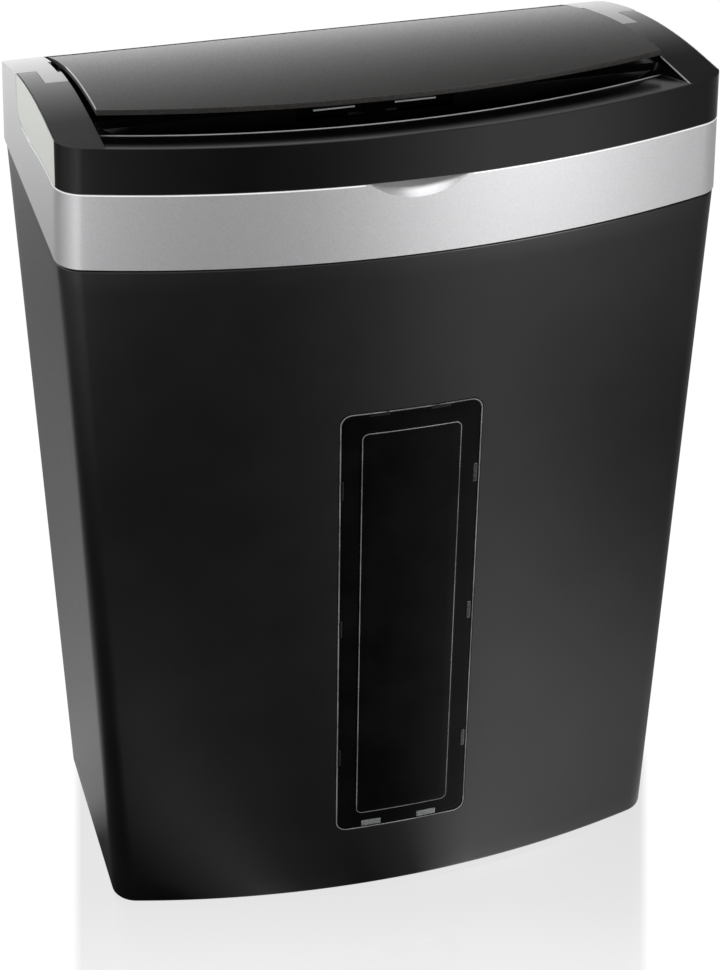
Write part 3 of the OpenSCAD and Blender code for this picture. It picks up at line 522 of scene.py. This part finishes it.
def make_clips():
    """Ten small catches round the window's flange, in painted lit and shaded copies of one plastic."""
    thin, long = CLIP
    hw, hh = FLANGE[0], FLANGE[1]
    # Painted light and shade: each row of catches gets a lighter or darker copy of the plastic.
    left = [(CLIP_IN["left"] - hw, z, thin, long, CLIP_PAINTED_SHADE) for z in CLIP_SIDE_Z]
    right = [(hw - CLIP_IN["right"], z, thin, long, CLIP_PAINTED_HALF_LIT) for z in CLIP_SIDE_Z]
    top = [(x, hh - CLIP_IN["top"], long, thin, CLIP_PAINTED_SHADE) for x in CLIP_END_X]
    foot = [(x, CLIP_IN["foot"] - hh, long, CLIP_FOOT_W, CLIP_PAINTED_LIT) for x in CLIP_END_X]
    path = filleted([(0.2, -1.2, 0), (0, -1.2, 0), (0, 0.35, 0.4), (1.2, 0.35, 0)], 3)
    for i, (x, z, w, h, material) in enumerate(left + right + top + foot):
        rings = [[bin_front(x + u, WINDOW_Z + z + v, out)
                  for u, v in round_rect(w / 2, h / 2, 0.6, inset, 3, 3)]
                 for inset, out in path]
        obj = mesh_object(f"window_clip_{i + 1}", *loft(rings))
        finish_piece(obj, "bin", "window_smoke", material=material)


def make_window_trim():
    """Painted highlights: light grey rings on the edges round the window's flange and its pane."""
    for name, (hw, hh, r), rest, reach in HIGHLIGHT_RINGS:
        rings = []
        for k in range(8):
            a = -2 * pi * k / 8
            inset, out = TRIM_IN - reach * cos(a), rest + TRIM_T * sin(a)
            rings.append([bin_front(x, WINDOW_Z + z, out)
                          for x, z in round_rect(hw, hh, r, inset, 5, 40)])
        obj = mesh_object(name, *hoop(rings))
        finish_piece(obj, "bin", "window_smoke", material=PAINTED_RING_HIGHLIGHT)


# ---- head --------------------------------------------------------------------

def crown_z(y, crown, lower=0.0):
    """Height at y of a crown, a circle in the YZ plane, or that far below it."""
    return crown["z"] + sqrt((crown["r"] - lower) ** 2 - (y - crown["y"]) ** 2)


def deck_z(y, lower=0.0):
    """Height of the deck: level over the front, then falling to the rear."""
    return crown_z(max(y, DECK["y"]), DECK, lower)


def head_solid(inset, z0, z1):
    """The head's drafted sides as a solid, moved inwards by inset."""
    low = bowed(**HEAD_LOW)
    high = bowed(**HEAD_HIGH)
    rings = []
    for z, _ in divided([(z0, 0), (z1, 0)], 6):
        k = (z - HEAD_Z0) / (HEAD_Z1 - HEAD_Z0)
        rings.append([(mix(a[0], b[0], k) - a[2] * inset, mix(a[1], b[1], k) - a[3] * inset, z)
                      for a, b in zip(low, high)])
    return mesh_object("head_solid", *loft(rings))


def prism(profile, x0, x1):
    """A solid along X with the given (y, z) profile."""
    return mesh_object("prism", *loft([[(x, y, z) for y, z in profile] for x in (x0, x1)]))


def slab(x0, x1, y0, y1, z0, z1):
    """A box with these limits."""
    return prism([(y0, z0), (y1, z0), (y1, z1), (y0, z1)], x0, x1)


def span(y0, y1):
    """Values from y0 to y1, about 4 mm apart."""
    n = max(1, round((y1 - y0) / 4))
    return [mix(y0, y1, i / n) for i in range(n + 1)]


def above(height, y0, y1, x0, x1):
    """Everything above a height that depends on y."""
    return prism([(y, height(y)) for y in span(y0, y1)] + [(y1, TOP), (y0, TOP)], x0, x1)


def above_deck(lower=0.0):
    """Everything above the deck, or above a surface that far below it."""
    return above(lambda y: deck_z(y, lower), -DEEP, DEEP, -WIDE, WIDE)


def rod(y, z, r, x0, x1):
    """A round bar along X."""
    return prism([(y + u, z + v) for u, v in circle(r, 32)], x0, x1)


def pin_hole():
    """A cutter for the holes of the lid's hinge pins."""
    return rod(*PIVOT, PIN_HOLE_R, -PIN_REACH, PIN_REACH)


def carve(obj, *cutters):
    """Cuts each cutter from obj in turn."""
    for cutter in cutters:
        boolean(obj, cutter)
    return obj


def mirrored(make):
    """A cutter made on the right and its mirror image on the left, as two solids."""
    right, left = make(), make()
    left.data.transform(Matrix.Scale(-1, 4, (1, 0, 0)))
    left.data.flip_normals()
    return right, left


def ease_edges(obj, width, segments=3, angle=30):
    """Small rounded edges on a finished piece."""
    bevel = obj.modifiers.new("edges", "BEVEL")
    bevel.width, bevel.segments = width * MM, segments
    bevel.limit_method, bevel.angle_limit = "ANGLE", radians(angle)
    bevel.harden_normals = True


def band_line(lift=0.0):
    """Side view of the band's upper edge, from the front to where it turns up the ear."""
    path = [(-DEEP, BAND_LINE[0][1])] + BAND_LINE
    y0, z0 = BAND_LINE[-1]
    turn = [(y0 + EAR_ROUND * sin(a), z0 + EAR_ROUND * (1 - cos(a)))
            for a in (radians(15 * i) for i in range(1, 7))]
    return [(y, z + lift) for y, z in divided(path, 6) + turn]


def scoop_ball():
    """A ball whose lowest part hollows the finger scoop out of the band's front."""
    w, d, r = SCOOP["w"], SCOOP["d"], SCOOP["r"]
    round_r = bow_radius(w, d)
    centre = Vector((0, HEAD_LOW["f"] - 0.5 - sqrt(r * r - round_r * round_r),
                     BAND_LINE[0][1] - d + round_r))
    rings = [[centre + Vector((u, v, -r * cos(a))) for u, v in circle(r * sin(a), 160)]
             for a in (radians(2 + 2 * k) for k in range(60))]
    return mesh_object("ball", *loft(rings))


def band_room():
    """The hollow inside the band, which leaves a solid block behind the scoop and walls at the ears."""
    return carve(head_solid(SHELL, CORE_FOOT, BLANK_TOP), above_deck(SHELL), slab(*SCOOP_BLOCK),
                 *mirrored(lambda: slab(WELL_X - 1, WELL_X + 2, TAB_Y, 114, REAR_Z + 1, TOP)))


def gland_hole():
    """A cutter along Y for the cord gland."""
    gland = rod(0, 0, GLAND_R, -20, 20)
    gland.data.transform(Matrix.Translation(Vector(GLAND_AT) * MM)
                         @ Matrix.Rotation(pi / 2, 4, "Z"))
    return gland


def make_band():
    """The silver band with its scoop, ears, tabs, notches, vents and gland hole."""
    room = band_room()
    front = prism(band_line() + [(EAR_Y, TOP), (-DEEP, TOP)], -WIDE, WIDE)
    carve(front, *mirrored(lambda: slab(WELL_X, TAB_X, TAB_Y, EAR_Y + 1, TAB_Z, TOP + 1)))
    obj = carve(head_solid(0, HEAD_Z0, BLANK_TOP), above_deck(), room, front,
                slab(-WELL_X, WELL_X, *MIDDLE_Y, REAR_Z, TOP),
                slab(-REAR_X, REAR_X, REAR_Y, DEEP, REAR_Z, TOP),
                scoop_ball())
    carve(obj, *mirrored(lambda: slab(WELL_X - 1, WELL_X + 2.1, *NOTCH_Y, PIVOT[1] + 2.5, TOP)),
          pin_hole())
    for i in VENTS:
        carve(obj, slab(VENT_PITCH * i, VENT_PITCH * i + VENT_W, REAR_Y, DEEP, *VENT_Z))
    carve(obj, gland_hole())
    ease_edges(obj, 0.9)
    finish_piece(obj, "head", "band_silver", "band")


def inlay_solid(side, thickness, drop):
    """One side's stretch of the skin between the band's slope and the deck."""
    line = [(min(y, EAR_Y - GAP), z) for y, z in band_line(GAP)][::-1]
    return carve(head_solid(INLAY_BACK, HEAD_Z0, BLANK_TOP),
                 head_solid(thickness, CORE_FOOT, CORE_TOP), above_deck(drop),
                 prism([(-DEEP, UNDER), (EAR_Y - GAP, UNDER)] + line, -WIDE, WIDE),
                 slab(-WIDE, WIDE, -DEEP, INLAY_Y, UNDER, TOP),
                 slab(-WIDE, WIDE, EAR_Y - GAP, DEEP, UNDER, TOP),
                 slab(*sorted((-side * WIDE, side * INLAY_X)), -DEEP, DEEP, UNDER, TOP))


def make_inlays():
    """The silver side panels between the band's slope and the deck."""
    for name, side in (("left_side_inlay", -1), ("right_side_inlay", 1)):
        obj = inlay_solid(side, INLAY_LIP, GAP)
        boolean(obj, inlay_solid(side, SHELL, INLAY_DROP), "UNION")
        ease_edges(obj, 0.2)
        finish_piece(obj, "head", "inlay_silver", name)


def flat_ring(size, z, r):
    """A bowed outline with front corners of radius r, level at height z."""
    return [(x, y, z) for x, y, _, _ in bowed(**size, r=r, rb=2)]


def funnel():
    """The throat from the lip line down to the feed slot."""
    top = flat_ring(LIP, LIP_Z + 1, r=1.5)
    slot = []
    for x, y, _ in top:
        px = max(-SLOT_W / 2, min(SLOT_W / 2, x * SLOT_W / 2 / LIP["w"]))
        k = (y - LIP["f"]) / (LIP["b"] - LIP["f"])
        slot.append((px, SLOT_Y + SLOT_GAP * (k - 0.5), SLOT_Z))
    low = [(x, y, SLOT_Z - 20) for x, y, _ in slot]
    return mesh_object("funnel", *loft([low, slot, top]))


def housing_room():
    """The hollow under the housing's skins."""
    keep = WELL_X + 2
    return carve(head_solid(SHELL + GAP, UNDER, CORE_TOP), above_deck(SHELL),
                 slab(-keep, keep, -DEEP, THROAT_BACK + SHELL, PLATE_Z, TOP),
                 above(lambda y: crown_z(y, LID_CROWN, FLOOR_DROP + SHELL),
                       THROAT_BACK + SHELL - 1, WELL_Y0, -keep, keep),
                 slab(-keep, keep, WELL_Y0 - SHELL, DEEP, WELL_Z - SHELL, TOP))


def inlay_room(inset, drop):
    """Room in the housing's skin for the side inlays, down to drop below the deck."""
    zone = prism([(INLAY_Y - GAP, INLAY_ROOM_Z), (EAR_Y + 1, INLAY_ROOM_Z)]
                 + [(y, deck_z(y, drop)) for y in span(INLAY_Y - GAP, EAR_Y + 1)][::-1],
                 -WIDE, WIDE)
    return carve(zone, head_solid(inset, INLAY_ROOM_Z - 10, CORE_TOP))


def below_housing():
    """Everything under the housing's skirt: at each side, then between them at the front."""
    line = [(y - GAP * (y > EAR_Y - EAR_ROUND), z) for y, z in band_line(GAP)]
    front, back, foot = -DEEP - 10, DEEP + 10, line[0][1]
    side = ([(front, UNDER), (front, foot)] + line
            + [(EAR_Y - GAP, TOP), (back, TOP), (back, UNDER)])
    flat_y = BAND_LINE[0][0]
    middle = [(front, UNDER), (front, foot), (flat_y, foot), (flat_y, UNDER)]
    return (prism(side, WELL_X + GAP - 1, WIDE), prism(side, -WIDE, -WELL_X - GAP + 1),
            prism(middle, -WELL_X, WELL_X))


def make_housing():
    """The black housing with its tray, throat, pocket under the lid and rear well."""
    obj = carve(head_solid(0, HEAD_Z0, BLANK_TOP), above_deck(), housing_room(), *below_housing(),
                inlay_room(SHELL + GAP, INLAY_DROP - GAP), inlay_room(1, -3))
    carve(obj, *mirrored(lambda: slab(WELL_X - GAP - 1, TAB_X + GAP,
                                      TAB_Y - GAP, TAB_ROOM_Y, TAB_ROOM_Z, TOP)))
    tray = mesh_object("tray", *loft([flat_ring(LIP, LIP_Z, r=1.5),
                                      flat_ring(TRAY, deck_z(-60) + 0.3, r=2)]))
    carve(obj, tray, funnel(),
          above(lambda y: crown_z(y, LID_CROWN, FLOOR_DROP),
                THROAT_BACK - 1, WELL_Y0, -WELL_X, WELL_X),
          slab(-WELL_X, WELL_X, WELL_Y0, WELL_Y1, WELL_Z, TOP),
          slab(PANEL_X - PANEL_W, PANEL_X + PANEL_W, THROAT_BACK - 5, THROAT_BACK + 1.6, *PANEL_Z))
    ease_edges(obj, 0.5)
    finish_piece(obj, "head", "housing_black", "top_housing")


def make_bead(name, rings, body, slot, material):
    """A painted highlight on a fine edge, as a piece of its own, lofted through small rings."""
    obj = mesh_object(name, *loft(rings), smooth=BEAD_SMOOTH)
    finish_piece(obj, body, slot, material=material)


def make_lip_bead():
    """A painted highlight: a thin light grey bead along the lip line, tapered at both ends."""
    rings = []
    reach, steps = LIP["w"] - 0.5, 120
    for i in range(steps + 1):
        x = mix(-reach, reach, i / steps)
        y = bow_y(LIP, x)
        taper = min(1, 0.3 + min(i, steps - i) / 3)
        rings.append([(x, y + u, LIP_Z + 0.1 + v) for u, v in circle(BEAD_R * taper)])
    make_bead("lip_highlight_bead", rings, "head", "housing_black", HIGHLIGHT_BEAD)


def band_edge_z(y):
    """Height of the band's upper edge at y."""
    line = [(-DEEP, BAND_LINE[0][1])] + BAND_LINE
    return next(mix(z0, z1, (y - y0) / (y1 - y0))
                for (y0, z0), (y1, z1) in zip(line, line[1:]) if y <= y1)


def make_band_edge_highlights():
    """A painted highlight: a near-white bead along the band's upper edge, from the scoop to each ear.
    """
    outline = list(zip(bowed(**HEAD_LOW), bowed(**HEAD_HIGH)))
    for name, side in (("band_edge_highlight_left", -1), ("band_edge_highlight_right", 1)):
        rings = []
        for (x, y, nx, ny), (high_x, high_y, _, _) in outline:
            if x * side < SCOOP["w"] or y > EAR_Y - EAR_ROUND:
                continue
            z = band_edge_z(y) - EDGE_R
            k = (z - HEAD_Z0) / (HEAD_Z1 - HEAD_Z0)
            cx, cy = mix(x, high_x, k) - nx * EDGE_IN, mix(y, high_y, k) - ny * EDGE_IN
            rings.append([(cx + nx * u, cy + ny * u, z + v) for u, v in circle(EDGE_R)])
        make_bead(name, rings, "head", "band_silver", EDGE_HIGHLIGHT)


def lid_panel():
    """The crowned panel: an upper and a lower grid of points, joined round the edge."""
    across, deep = 80, 44
    verts, faces = [], []
    for lower in (0, LID_T):
        for j in range(deep + 1):
            for i in range(across + 1):
                x = mix(-LID["w"], LID["w"], i / across)
                y = mix(bow_y(LID, x), LID["b"], j / deep)
                verts.append((x, y, crown_z(y, LID_CROWN, lower)))
    row = across + 1
    side = row * (deep + 1)
    for level in (0, 1):
        for j in range(deep):
            for i in range(across):
                a = level * side + j * row + i
                faces.append((a, a + 1, a + row + 1, a + row))
    edge = ([(j * row, (j + 1) * row) for j in range(deep)]
            + [(j * row + across, (j + 1) * row + across) for j in range(deep)]
            + [(i, i + 1) for i in range(across)]
            + [(deep * row + i, deep * row + i + 1) for i in range(across)])
    faces += [(a, b, b + side, a + side) for a, b in edge]
    return mesh_object("lid_panel", verts, faces)


def lid_lug():
    """One hinge lug under the lid."""
    y, z = PIVOT
    half = [(y + LUG_R * cos(a), z + LUG_R * sin(a))
            for a in (radians(180 + 15 * i) for i in range(13))]
    return prism(half + [(y + LUG_R, LUG_TOP[1]), (y - LUG_R, LUG_TOP[0])], *LUG_X)


def make_lid():
    """The lid with its two hinge lugs."""
    obj = lid_panel()
    for lug in mirrored(lid_lug):
        boolean(obj, lug, "UNION")
    carve(obj, pin_hole())
    ease_edges(obj, 0.9, segments=4, angle=40)
    finish_piece(obj, "lid", "lid_grey", "lid")


def make_edge_highlight_beads():
    """Painted highlights: light grey beads along the lid's left side and the tray's right side."""
    lid = [(0.4 - LID["w"], y, crown_z(y, LID_CROWN) - 0.3)
           for y in span(LID["f"] + LID["s"] + 1.5, NOTCH_Y[0])]
    tray = [(WELL_X + 0.2, y, deck_z(y) - 0.15)
            for y in span(TRAY["f"] + TRAY["s"] + 1.5, THROAT_BACK)]
    for name, path, body, slot in (("lid_edge_highlight", lid, "lid", "lid_grey"),
                                   ("tray_edge_highlight", tray, "head", "housing_black")):
        rings = [[(x + u, y, z + v) for u, v in circle(BEAD_R)] for x, y, z in path]
        make_bead(name, rings, body, slot, HIGHLIGHT_BEAD)


# ---- studio ------------------------------------------------------------------

# Radiance of the surround against the sine of the elevation plus SKY_LEAN times the part of the
# direction that points right, so that the right side is darker.
SKY = [(0.0, 1.4), (0.25, 1.0), (0.4, 0.62), (0.55, 0.22), (0.65, 0.08), (0.85, 0.08), (1.0, 0.3)]
SKY_LEAN = 0.75
# Radiance of the floor against the compass angle, 0 in front, + to the right: close to the
# object, then further out and far away, with the distances in metres where they change.
FLOOR_CLOSE = [(-180, 0.42), (-150, 0.36), (-120, 0.62), (-104, 0.52), (-92, 0.08), (-62, 0.0),
               (-46, 0.5), (-34, 0.2), (-12, 0.08), (8, 0.25), (28, 1.5), (45, 1.25),
               (65, 0.8), (90, 0.3), (140, 0.3), (180, 0.42)]
FLOOR_NEAR = [(-180, 0.36), (-150, 0.34), (-128, 0.6), (-112, 0.08), (-92, 0.0), (-34, 0.0),
              (-12, 0.05), (8, 0.2), (28, 0.95), (45, 0.26), (65, 0.08), (90, 0.2),
              (140, 0.3), (180, 0.36)]
FLOOR_FAR = [(-180, 0.6), (-150, 0.25), (-115, 0.15), (-75, 0.75), (-48, 1.5), (-32, 0.42),
             (-12, 0.08), (2, 0.26), (12, 0.62), (28, 1.5), (42, 1.3), (60, 0.35),
             (110, 0.3), (180, 0.6)]
FLOOR_STEPS = (0.3, 0.6), (0.78, 0.92)
# Radiance far behind the object, and the distances in metres over which it comes in.
BACK_GLOW, BACK_Y = 1.8, (1.0, 2.2)
# Share of mirror reflection seen in the floor against the distance in front of the object in
# metres, and the half width of that strip where it starts and ends.
SHEEN = [(0.0, 0.0), (0.02, 0.29), (0.16, 0.25), (0.26, 0.14), (0.4, 0.04), (0.55, 0.0)]
SHEEN_BACK = 0.06
SHEEN_EDGE = (0.194, 0.2)
SHEEN_TAPER = 0.1
# Radiance of the floor and of the surround as the camera sees them.
FLOOR_WHITE, SKY_WHITE = 1.03, 1.1
# The floor's radius in millimetres.
FLOOR_REACH, FLOOR_SIDES = 20000, 64
AIM = Vector((-0.0029, -0.0084, 0.2503))
AZIMUTH, ELEVATION, DISTANCE = radians(-15.98), radians(30.92), 1.4937
LENS, SENSOR = 89.83, 36
# Area lights: name, place, aim and size in metres, and power in watts.
LIGHTS = [("key_right", (1.1, -1.9, 0.7), (0, 0, 0.3), (0.6, 1.2), 24),
          ("fill_left", (-2.4, 0.2, 0.9), (0, 0, 0.4), (1.4, 1.4), 4),
          ("overhead", (0.2, -1.2, 2.2), (0, 0, 0.4), (1.6, 0.7), 12)]


def make_camera():
    """The camera, placed by its direction and distance from the point that it looks at."""
    data = bpy.data.cameras.new("camera")
    data.lens, data.sensor_width = LENS, SENSOR
    cam = bpy.data.objects.new("camera", data)
    bpy.context.scene.collection.objects.link(cam)
    offset = Vector((sin(AZIMUTH) * cos(ELEVATION), -cos(AZIMUTH) * cos(ELEVATION),
                     sin(ELEVATION)))
    cam.location = AIM + offset * DISTANCE
    cam.rotation_euler = (-offset).to_track_quat("-Z", "Y").to_euler()
    bpy.context.scene.camera = cam


def area_light(name, place, aim, size, power):
    """A white rectangular light that faces aim."""
    data = bpy.data.lights.new(name, "AREA")
    data.shape, data.size, data.size_y = "RECTANGLE", *size
    data.energy = power
    obj = bpy.data.objects.new(name, data)
    bpy.context.scene.collection.objects.link(obj)
    obj.location = place
    obj.rotation_euler = (Vector(aim) - Vector(place)).to_track_quat("-Z", "Y").to_euler()


def calc(nodes, links, operation, *inputs):
    """A math node on sockets and constants."""
    node = nodes.new("ShaderNodeMath")
    node.operation = operation
    for socket, value in zip(node.inputs, inputs):
        if isinstance(value, (int, float)):
            socket.default_value = value
        else:
            links.new(value, socket)
    return node.outputs[0]


def curve(nodes, links, source, stops, top):
    """A piecewise linear grey curve, its stops' values given as shares of top."""
    node = nodes.new("ShaderNodeValToRGB")
    while len(node.color_ramp.elements) < len(stops):
        node.color_ramp.elements.new(0.5)
    for element, (place, value) in zip(node.color_ramp.elements, stops):
        element.position, element.color = place, (value / top, value / top, value / top, 1)
    links.new(source, node.inputs["Fac"])
    return node.outputs["Color"]


def floor_axes(nodes, links):
    """The floor's own X and Y, in metres from the object's middle."""
    coord = nodes.new("ShaderNodeTexCoord")
    split = nodes.new("ShaderNodeSeparateXYZ")
    links.new(coord.outputs["Object"], split.inputs[0])
    return split.outputs["X"], split.outputs["Y"]


def radius(nodes, links, x, y):
    """Distance of a point of the floor from the middle."""
    return calc(nodes, links, "SQRT",
                calc(nodes, links, "ADD", calc(nodes, links, "MULTIPLY", x, x),
                     calc(nodes, links, "MULTIPLY", y, y)))


def mixed(nodes, links, factor, first, second):
    """The first shader where the factor is 0, the second where it is 1."""
    both = nodes.new("ShaderNodeMixShader")
    for socket, source in zip(both.inputs, (factor, first, second)):
        links.new(source, socket)
    return both.outputs[0]


def between(nodes, links, source, low, high):
    """0 below low, 1 above high."""
    reach = nodes.new("ShaderNodeMapRange")
    reach.inputs["From Min"].default_value, reach.inputs["From Max"].default_value = low, high
    links.new(source, reach.inputs["Value"])
    return reach.outputs[0]


def ring_glow(nodes, links, share, stops):
    """Light that depends on the compass angle."""
    top = max(value for _, value in stops)
    glow = nodes.new("ShaderNodeEmission")
    glow.inputs["Strength"].default_value = top
    stops = [(angle / 360 + 0.5, value) for angle, value in stops]
    links.new(curve(nodes, links, share, stops, top), glow.inputs["Color"])
    return glow.outputs[0]


def floor_glow(nodes, links, x, y):
    """The floor as a light source: lit patches in front and to the left, bright far behind."""
    turn = calc(nodes, links, "ARCTAN2", x, calc(nodes, links, "MULTIPLY", y, -1.0))
    share = calc(nodes, links, "MULTIPLY_ADD", turn, 1 / (2 * pi), 0.5)
    reach = radius(nodes, links, x, y)
    around = ring_glow(nodes, links, share, FLOOR_CLOSE)
    for step, stops in zip(FLOOR_STEPS, (FLOOR_NEAR, FLOOR_FAR)):
        around = mixed(nodes, links, between(nodes, links, reach, *step), around,
                       ring_glow(nodes, links, share, stops))
    back = nodes.new("ShaderNodeEmission")
    back.inputs["Strength"].default_value = BACK_GLOW
    return mixed(nodes, links, between(nodes, links, y, *BACK_Y), around, back.outputs[0])


def floor_seen(nodes, links, x, y):
    """The floor as seen: white, with a faint reflection in front of the object."""
    glow = nodes.new("ShaderNodeEmission")
    links.new(ramp(nodes, links, noise(nodes, links, 3), 0.99, 1.0), glow.inputs["Color"])
    glow.inputs["Strength"].default_value = FLOOR_WHITE
    gloss = nodes.new("ShaderNodeBsdfGlossy")
    gloss.inputs["Roughness"].default_value = 0.1
    across = calc(nodes, links, "ADD", calc(nodes, links, "MULTIPLY", x, cos(AZIMUTH)),
                  calc(nodes, links, "MULTIPLY", y, sin(AZIMUTH)))
    ahead = calc(nodes, links, "ADD", calc(nodes, links, "MULTIPLY", x, sin(AZIMUTH)),
                 calc(nodes, links, "MULTIPLY_ADD", y, -cos(AZIMUTH), SHEEN_BACK))
    width = calc(nodes, links, "MULTIPLY_ADD", ahead, SHEEN_TAPER,
                 calc(nodes, links, "ABSOLUTE", across))
    outside = between(nodes, links, width, *SHEEN_EDGE)
    sheen = calc(nodes, links, "MULTIPLY", curve(nodes, links, ahead, SHEEN, 1.0),
                 calc(nodes, links, "SUBTRACT", 1.0, outside))
    return mixed(nodes, links, sheen, glow.outputs[0], gloss.outputs[0])


def by_camera_ray(nodes, links, seen, other, output):
    """One shader for what the camera sees directly, another for all other rays."""
    path = nodes.new("ShaderNodeLightPath")
    links.new(mixed(nodes, links, path.outputs["Is Camera Ray"], other, seen),
              output.inputs["Surface"])


def make_floor():
    """A wide level floor, which is also a light source."""
    mat = bpy.data.materials.new("floor_white")
    mat.use_nodes = True
    nodes, links = mat.node_tree.nodes, mat.node_tree.links
    nodes.clear()
    x, y = floor_axes(nodes, links)
    by_camera_ray(nodes, links, floor_seen(nodes, links, x, y), floor_glow(nodes, links, x, y),
                  nodes.new("ShaderNodeOutputMaterial"))
    ring = [(x, y, 0) for x, y in circle(FLOOR_REACH, FLOOR_SIDES)]
    obj = mesh_object("floor", ring, [tuple(range(FLOOR_SIDES))])
    obj.data.materials.append(mat)


def make_world():
    """A surround that is brightest at the horizon and dark higher up, but white to the camera."""
    world = bpy.data.worlds.new("studio")
    world.use_nodes = True
    nodes, links = world.node_tree.nodes, world.node_tree.links
    sky = nodes["Background"]
    coord = nodes.new("ShaderNodeTexCoord")
    split = nodes.new("ShaderNodeSeparateXYZ")
    links.new(coord.outputs["Generated"], split.inputs[0])
    lean = calc(nodes, links, "MULTIPLY_ADD", split.outputs["X"], SKY_LEAN, split.outputs["Z"])
    top = max(value for _, value in SKY)
    links.new(curve(nodes, links, lean, SKY, top), sky.inputs["Color"])
    sky.inputs["Strength"].default_value = top
    white = nodes.new("ShaderNodeBackground")
    white.inputs["Strength"].default_value = SKY_WHITE
    by_camera_ray(nodes, links, white.outputs[0], sky.outputs[0], nodes["World Output"])
    bpy.context.scene.world = world


def make_studio():
    """Camera, floor, surround and lights."""
    make_camera()
    make_floor()
    make_world()
    for light in LIGHTS:
        area_light(*light)
    bpy.context.scene.view_settings.view_transform = "Standard"


make_studio()
dress_cad_nodes()
make_bin()
make_window()
make_clips()
make_window_trim()
make_band()
make_band_edge_highlights()
make_inlays()
make_housing()
make_lip_bead()
make_lid()
make_edge_highlight_beads()
